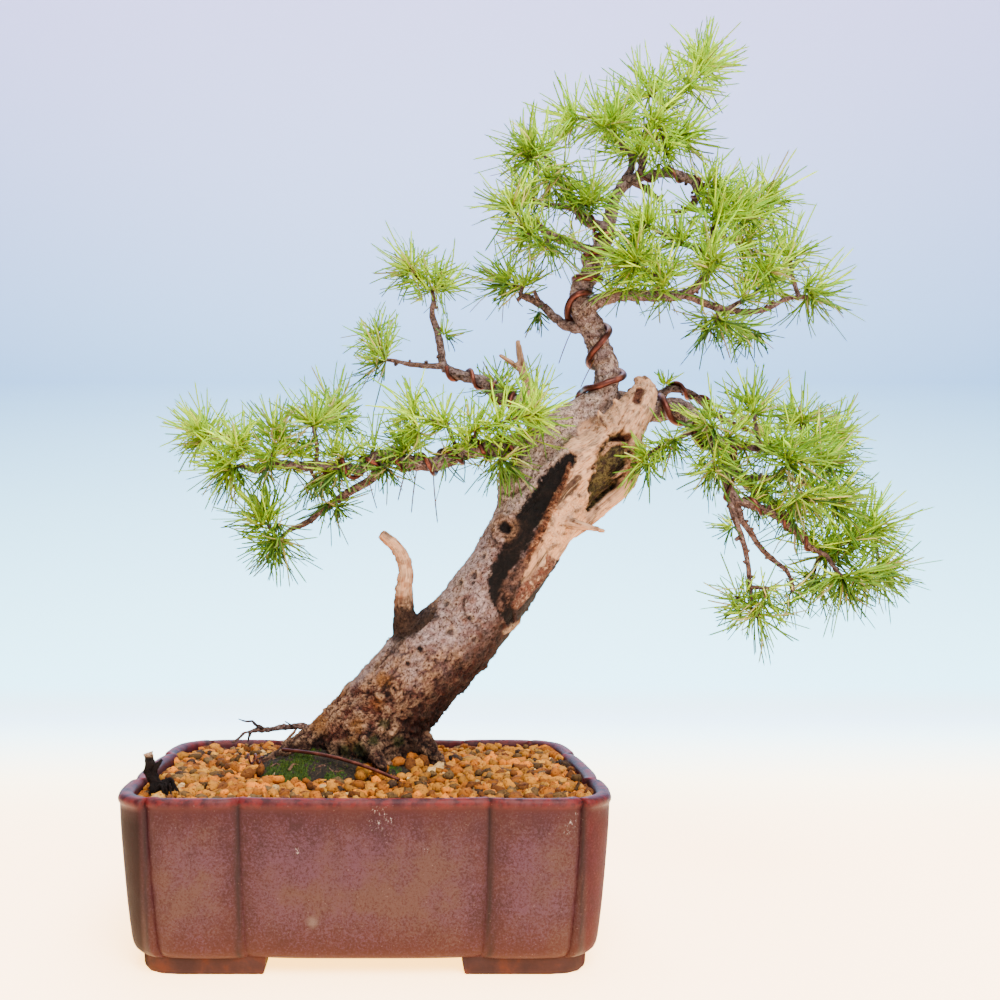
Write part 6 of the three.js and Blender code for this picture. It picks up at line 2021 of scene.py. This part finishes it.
use(root, bark, "old_root", "corner_root")
# %% [markdown]
# ## Needles
# Larch needles are soft, flat and about an inch long. On old wood they come in tufts of 20 to 40
# from one spur, and on a fresh shoot singly, in a spiral. Each needle here is a thin three-sided
# blade of four rings and a tip, bent a little by its weight. One function grows one into the
# lists of the piece that is being made, so that a spray is one mesh. It is pale at its foot.

# %% One needle
NEEDLE_WIDTH = 0.55
NEEDLE_FACES = 13
BLADE = ((0.0, 0.7), (0.35, 1.0), (0.68, 1.0), (0.95, 0.85))
LIME = [Vector(shade(*c)[:3]) for c in ((198, 230, 32), (172, 210, 26), (144, 192, 24))]
GREEN = [Vector(shade(*c)[:3]) for c in ((78, 120, 46), (58, 94, 42), (106, 138, 56))]
STRAW = Vector(shade(206, 170, 120)[:3])
THIRD = 2.094
TIP_TINT = (0.54, 0.68, 0.8)


def grow_needle(piece, start, direction, length, bend, colour, width=NEEDLE_WIDTH):
    points, faces, tints = piece
    direction = direction.normalized()
    across = direction.cross(Vector((bend.y + 0.3, bend.z + 0.2, bend.x + 0.1))).normalized()
    out = direction.cross(across)
    first = len(points)
    for share, wide in BLADE:
        middle = start + direction * (length * share) + bend * (length * share * share)
        for k in range(3):
            a = THIRD * k
            off = across * (math.cos(a) * wide * width) + out * (math.sin(a) * wide * width * 0.6)
            points.append(place(*(middle + off)))
            ageing = (1.32 - 0.78 * share, 1.22 - 0.54 * share, 1.0 - 0.2 * share)
            tints.append((*(c * young for c, young in zip(colour, ageing)), 1.0))
    points.append(place(*(start + direction * length + bend * length)))
    tints.append((*(c * young for c, young in zip(colour, TIP_TINT)), 1.0))
    faces.append((first + 2, first + 1, first))
    last = first + len(BLADE) * 3 - 3
    for ring in range(first, last, 3):
        for k in range(3):
            a, b = ring + k, ring + (k + 1) % 3
            faces.append((a, b, b + 3, a + 3))
    for k in range(3):
        faces.append((last + k, last + (k + 1) % 3, last + 3))


# %% [markdown]
# How bright a needle is depends on its age and light: the top, the shoots in the middle and the
# tip of the left branch are lime, and the drooping bough is duller. A few needles are dry.

# %% Tufts and shoots
FRESH = {
    "left": 0.5, "left_tip": 0.8, "left_hang": 0.4, "upper_left": 0.55, "centre_shoot": 0.8,
    "centre_long": 0.8, "centre_hang": 0.5, "centre_back": 0.35, "crown_left": 0.56, "top": 0.9,
    "loop": 0.6, "crown_right": 0.6, "crown_right_under": 0.4, "bough": 0.5, "bough_low": 0.42,
    "bough_back": 0.4, "hanging": 0.36, "side_branch": 0.4,
}


def freshness(name):
    known = [key for key in FRESH if name.startswith(key)]
    return FRESH[max(known, key=len)] if known else 0.6


def needle_colour(dice, fresh):
    colour = blend(dice.choice(GREEN), dice.choice(LIME), fresh + dice.uniform(-0.28, 0.28))
    if dice.random() < 0.14 - fresh * 0.12:
        colour = colour.lerp(STRAW, 0.6)
    return colour * dice.uniform(0.6, 1.3)


def any_direction(dice):
    z, a = dice.uniform(-1, 1), dice.uniform(0, 6.2832)
    flat = math.sqrt(1 - z * z)
    return Vector((flat * math.cos(a), flat * math.sin(a), z))


def in_the_wood(spot):
    centre, i, gap = cloud_tree.find(spot)
    return gap < limb_cloud[i][2] - 0.3


INNER = 0.22


def grow_tuft(piece, centre, axis, count, reach, fresh, dice, spread=-0.35):
    """A rosette: needles lean forward round the axis, the outer ones most spread."""
    grown = 0
    for _ in range(count * 4):
        direction = (any_direction(dice) + axis * 0.35).normalized()
        if direction.dot(axis) < spread:
            continue
        inner = dice.random() < INNER
        length = reach * (dice.uniform(0.35, 0.6) if inner else dice.uniform(0.64, 0.92))
        if in_the_wood(centre + direction * length * 0.5):
            continue
        droop = any_direction(dice) * 0.48 + axis * 0.1
        start = centre + direction * 0.8 - axis * dice.uniform(0, 1.5)
        width = NEEDLE_WIDTH * dice.uniform(0.85, 1.15)
        # Painted light, as if from above: needles that point up are painted more lime, and all but the short
        # inner ones brighter; those that point down are darker.
        lit = soft(-0.8, 0.7, direction.z)
        colour = needle_colour(dice, fresh - 0.3 + 0.5 * lit) * (0.8 if inner else 0.62 + 0.45 * lit)
        grow_needle(piece, start, direction, length, droop, colour, width)
        grown += 1
        if grown >= count:
            return


SHOOT_STEP = 0.5


def grow_shoot(piece, start, end, reach, fresh, dice):
    """Single needles in a spiral along a shoot, leaning towards its tip."""
    line = end - start
    along = line.normalized()
    side = along.cross(Vector((0.3, 1, 0.2))).normalized()
    other = along.cross(side)
    for i in range(int(line.length / SHOOT_STEP)):
        share = i * SHOOT_STEP / line.length
        a = i * 2.4 + dice.uniform(-0.3, 0.3)
        out = side * math.cos(a) + other * math.sin(a)
        direction = out + along * dice.uniform(0.35, 0.8)
        spot = start + line * share
        bend = along * 0.12 + any_direction(dice) * 0.06
        length = reach * dice.uniform(0.6, 0.85)
        if not in_the_wood(spot + direction.normalized() * length * 0.5):
            grow_needle(piece, spot, direction, length, bend, needle_colour(dice, fresh))


# %% [markdown]
# A spray is built from the same tufts as its solid: the place, the way it leans, and how far
# its needles reach. Round each main rosette sit three smaller ones, as on a real twig, and the
# links between tufts are feathered with single needles.

# %% Sprays
needle_finish = Finish("larch_needles", roughness=0.6, specular=0.06)
needle_tint = needle_finish.painted("tint")
streak = needle_finish.noise(1.4, 2, 0.5)
needle_base = needle_finish.mix(needle_tint, shade(70, 104, 34), streak.between(0.52, 0.7) * 0.4)
needle_finish.feed("Base Color", needle_base)
needle_finish.feed("Roughness", 0.45 + streak * 0.15)
needle_finish.bump(needle_finish.noise(0.4, 2), 0.05)


FULLNESS = {
    "left": 1.35, "upper_left": 0.75, "centre": 0.95, "crown_right": 1.15, "bough": 1.15, "hanging": 0.5,
}


def dress_spray(name, tufts, dice):
    piece = ([], [], [])
    fresh = freshness(name)
    full = next((share for key, share in FULLNESS.items() if name.startswith(key)), 1.0)
    for k, (spot, lean, count, reach) in enumerate(tufts):
        centre, axis = Vector(spot), Vector(lean).normalized()
        grow_tuft(piece, centre, axis, round(count * 3 * full), reach, fresh, dice)
        for _ in range(3):
            step = (any_direction(dice) + axis * 0.5).normalized() * dice.uniform(3, 10)
            lean = (axis + step.normalized() * 0.6).normalized()
            shorter = reach - step.length * 0.6
            heart, fewer = centre + step - axis * 3, round(count * 1.3 * full)
            grow_tuft(piece, heart, lean, fewer, shorter, fresh - 0.1, dice, -0.1)
        if k > 0:
            grow_shoot(piece, Vector(tufts[k - 1][0]), centre, reach, fresh, dice)
    thing = new_mesh(f"needles_{name}", *piece)
    use(thing, needle_finish, "needles", f"spray_{name}")
    return len(piece[1]) // NEEDLE_FACES


dice = random.Random(2026)
grown = sum(dress_spray(name, tufts, dice) for name, tufts in sprays.items())
print("needles in the sprays:", grown)

# %% [markdown]
# Besides the sprays, a larch has single small tufts straight on its old wood, and some dry
# needles that hang from last year. Each is set by where it shows in the picture, on the limb
# that carries it.

# %% Small tufts on old wood
SMALL_TUFTS = [
    (447, 335, 26, (0.7, -0.2, 0.6), 14, 0.4), (664, 386, 22, (0.1, -0.3, 1), 9, 0.7),
    (537, 312, 22, (-0.2, -0.2, -1), 14, 0.3), (553, 398, 24, (0, 0, 1), 20, 0.55),
    (733, 530, -22, (-1, -0.2, 0.2), 14, 0.3), (334, 503, 12, (0.3, -0.3, -1), 14, 0.3),
    (300, 455, -2, (0.2, -0.7, 0.8), 18, 0.55), (352, 452, 4, (0, -0.5, 1), 18, 0.45),
    (410, 446, -8, (-0.3, -0.8, 0.5), 18, 0.5), (462, 452, -6, (0.2, -1, -0.1), 18, 0.6),
    (330, 480, 6, (0, -0.8, -0.7), 16, 0.4), (386, 462, -6, (-0.2, -0.9, -0.4), 16, 0.4),
    (520, 440, -8, (0.3, -0.8, 0.4), 20, 0.8), (500, 470, -10, (0.5, -0.6, -0.8), 22, 0.55),
    (640, 158, -2, (-0.5, -0.6, 0.5), 18, 0.7), (622, 120, 2, (-0.5, -0.7, 0.4), 22, 0.8),
    (655, 105, -2, (0.3, -0.8, 0.2), 20, 0.8), (700, 262, -16, (0.2, -0.9, -0.3), 20, 0.8),
    (745, 290, -8, (0.2, -0.8, 0.5), 20, 0.75), (770, 250, -6, (0.1, -0.8, 0.6), 20, 0.85),
    (750, 440, 24, (0, -0.6, 1), 20, 0.7), (800, 450, 12, (0.2, -0.6, 1), 20, 0.75),
    (770, 480, -8, (0.2, -0.9, -0.2), 20, 0.7), (830, 540, 8, (0.4, -0.8, 0.3), 22, 0.75),
    (245, 425, 4, (-0.2, -0.6, 1), 24, 0.5), (298, 425, 2, (0, -0.6, 1), 24, 0.55),
    (340, 415, 0, (0, -0.6, 1), 24, 0.55), (367, 440, -4, (0.2, -1, 0.2), 24, 0.4),
    (410, 440, -8, (0, -1, 0.2), 22, 0.4), (343, 462, 4, (0, -0.8, -0.6), 22, 0.35),
    (388, 466, -8, (-0.2, -0.9, -0.5), 22, 0.35), (441, 455, -8, (0.2, -1, -0.4), 22, 0.45),
    (463, 420, -8, (0, -0.6, 0.8), 24, 0.7), (484, 440, -10, (0.3, -0.9, 0), 24, 0.7),
    (223, 462, 8, (-0.4, -0.6, -0.6), 24, 0.5), (325, 498, 14, (0.2, -0.8, -0.4), 22, 0.35),
    (505, 392, 10, (0.1, -0.4, 1), 22, 0.5), (729, 436, -4, (-0.3, -0.7, 0.6), 24, 0.6),
    (718, 466, -6, (-0.5, -0.8, -0.3), 24, 0.5), (766, 450, -10, (0, -1, 0.2), 24, 0.65),
    (792, 458, -14, (0.1, -1, 0.2), 26, 0.9), (822, 503, -6, (0.3, -0.9, 0.2), 26, 0.8),
    (852, 540, 4, (0.5, -0.7, 0.4), 26, 0.75), (843, 577, 4, (0.2, -0.9, -0.3), 26, 0.6),
    (815, 566, 8, (-0.2, -0.9, -0.3), 24, 0.45), (777, 483, -8, (0, -1, -0.3), 22, 0.4),
    (833, 445, 6, (0.6, -0.6, 0.4), 24, 0.75), (682, 139, 0, (0.5, -0.7, 0.2), 24, 0.8),
    (712, 222, -14, (0.2, -0.9, 0.5), 26, 0.9), (670, 240, -16, (-0.2, -1, 0.1), 26, 0.9),
    (632, 268, -12, (-0.5, -0.8, 0), 24, 0.8), (750, 212, -6, (0.4, -0.7, 0.6), 26, 0.85),
    (660, 278, -14, (-0.2, -0.9, -0.3), 24, 0.75), (596, 196, -16, (-0.2, -1, 0.1), 24, 0.7),
    (560, 200, -16, (-0.3, -0.9, 0.3), 20, 0.7), (528, 236, -26, (-0.6, -0.6, -0.5), 18, 0.5),
]
dice = random.Random(8)
piece = ([], [], [])
for px, py, depth, lean, reach, fresh in SMALL_TUFTS:
    x, z = seen(px, py, depth)
    spot, i, gap = cloud_tree.find(Vector((x, depth, z)))
    axis = Vector(lean).normalized()
    base = spot + (Vector((x, depth, z)) - spot).normalized() * limb_cloud[i][2] if gap > 1 else spot
    centre = base + axis * 3
    grow_tuft(piece, centre, axis, 30, reach, fresh - 0.12, dice, -0.1)
LEAFY = {
    "leftMain": 0.4, "bough": 0.45, "boughUpper": 0.5, "boughFront": 0.45, "crownRight": 0.6,
    "crownRightMid": 0.6, "crownB": 0.6, "crownC": 0.6, "topSide": 0.8,
}
last = None
for name, spot, radius in limb_cloud:
    if name not in LEAFY or radius > 3.4 or (last and (spot - last).length < 15):
        continue
    last = spot
    out = (any_direction(dice) + Vector((0, -0.35, 0.25))).normalized()
    grow_tuft(piece, spot + out * radius, out, 16, dice.uniform(17, 22), LEAFY[name], dice, 0.0)
small = new_mesh("needles_small_tufts", *piece)
use(small, needle_finish, "needles")

# %% Dry needles
DRY = [
    (432, 470, 435, 522), (418, 468, 409, 512), (370, 470, 375, 508), (560, 340, 556, 362),
    (405, 480, 396, 500), (590, 350, 578, 386),
]
piece = ([], [], [])
for px, py, tip_x, tip_y in DRY:
    x, z = seen(px, py, -10)
    tx, tz = seen(tip_x, tip_y, -12)
    start, tip = Vector((x, -10, z)), Vector((tx, -12, tz))
    spot = cloud_tree.find(start)[0]
    line = tip - spot
    grow_needle(piece, spot, line, line.length, Vector((0.05, 0.04, -0.03)), BARK["orange"] * 0.8, 0.6)
dry = new_mesh("needles_dry", *piece)
use(dry, needle_finish, "needles")
# %% [markdown]
# ## Floor and light
# The picture was taken in soft daylight against a pale paper sheet. A floor that curves up
# behind the tree gives a background with no horizon, and large soft lights from the front, the
# right and above leave only a weak shadow. Lights that suit the tree leave the sheet too dark,
# so it also glows a little, in the tones that the background has in the picture.

# %% Floor
bpy.ops.mesh.primitive_plane_add(size=1)
floor = bpy.context.object
floor.name = "paper_floor"
bpy.ops.object.mode_set(mode="EDIT")
sheet = bmesh.from_edit_mesh(floor.data)
corners = {(-0.5, -0.5): (-4, -2), (0.5, -0.5): (4, -2), (0.5, 0.5): (4, 1.1), (-0.5, 0.5): (-4, 1.1)}
for vertex in sheet.verts:
    x, y = corners[round(vertex.co.x, 1), round(vertex.co.y, 1)]
    vertex.co = Vector((x, y, 0))
bmesh.update_edit_mesh(floor.data)
bpy.ops.mesh.select_all(action="DESELECT")
sheet = bmesh.from_edit_mesh(floor.data)
for edge in sheet.edges:
    edge.select = all(v.co.y > 1 for v in edge.verts)
bmesh.update_edit_mesh(floor.data)
for i in range(12):
    a = (i + 0.5) / 12 * math.pi / 2
    step = 0.8 * math.pi / 2 / 12
    move = (0, step * math.cos(a), step * math.sin(a))
    bpy.ops.mesh.extrude_region_move(TRANSFORM_OT_translate={"value": move})
bpy.ops.mesh.extrude_region_move(TRANSFORM_OT_translate={"value": (0, 0, 2.6)})
bpy.ops.object.mode_set(mode="OBJECT")
floor.data.shade_smooth()
floor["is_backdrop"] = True
paper = Finish("pale_paper", roughness=0.9, specular=0.1)
parts = [paper.node("ShaderNodeSeparateXYZ", inputs={0: paper.place}, output=i) for i in range(3)]
across, depth, height = parts
rise = height * 0.5 + depth * 0.03
tone = paper.ramp(
    rise, (0.006, shade(246, 243, 239)), (0.0115, shade(240, 243, 242)),
    (0.0184, shade(209, 238, 252)), (0.0227, shade(197, 218, 248)), (0.0277, shade(198, 211, 230)),
    (0.036, shade(198, 214, 234)), (0.38, shade(154, 196, 218)), (0.85, shade(206, 211, 232)),
)
paper.feed("Base Color", tone)
glow = paper.ramp(
    rise, (0.006, (0.74, 0.38, 0.08, 1)), (0.0115, (0.74, 0.54, 0.25, 1)),
    (0.0184, (0.38, 0.53, 0.5, 1)), (0.0227, (0.26, 0.41, 0.5, 1)), (0.0277, (0.24, 0.38, 0.42, 1)),
    (0.036, (0.15, 0.47, 0.56, 1)), (0.38, (0.0, 0.02, 0.13, 1)), (0.85, (0.08, 0.07, 0.23, 1)),
)
sideways = across - 0.35
beside_sheet = sideways.sum("ABSOLUTE", sideways).between(1.75, 1.35) * depth.between(-0.6, -0.35)
paper.feed("Emission Color", paper.mix((0, 0, 0, 1), glow, beside_sheet))
paper.shader.inputs["Emission Strength"].default_value = 8
floor.data.materials.append(paper.material)

# %% Lights
middle = place(60, 0, 250)


def soft_light(name, spot, size, power, tint=(1, 1, 1)):
    bpy.ops.object.light_add(type="AREA", location=place(*spot))
    light = bpy.context.object
    light.name = name
    light.data.shape = "DISK"
    light.data.size = size
    light.data.energy = power
    light.data.color = tint
    light.rotation_euler = (middle - light.location).to_track_quat("-Z", "Y").to_euler()


soft_light("window", (250, -1250, 1400), 1.3, 84, (1.0, 0.98, 0.95))
soft_light("fill", (1100, -900, 700), 1.6, 20)
soft_light("overhead", (100, 100, 1700), 1.8, 50)
soft_light("backdrop_wash", (100, 500, 1500), 1.5, 12, (0.92, 0.96, 1.0))
world = bpy.data.worlds.new("studio")
world.use_nodes = True
world.node_tree.nodes["Background"].inputs["Color"].default_value = (0.86, 0.92, 1.0, 1)
world.node_tree.nodes["Background"].inputs["Strength"].default_value = 0.45
bpy.context.scene.world = world

# %% [markdown]
# ## Size, and the end
# The dressed tree has to keep the imported model's size: only a few needle tips reach some
# millimetres past its box. At the end, the box round all shown pieces but the floor is worked out.

# %% Finish
low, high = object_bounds()
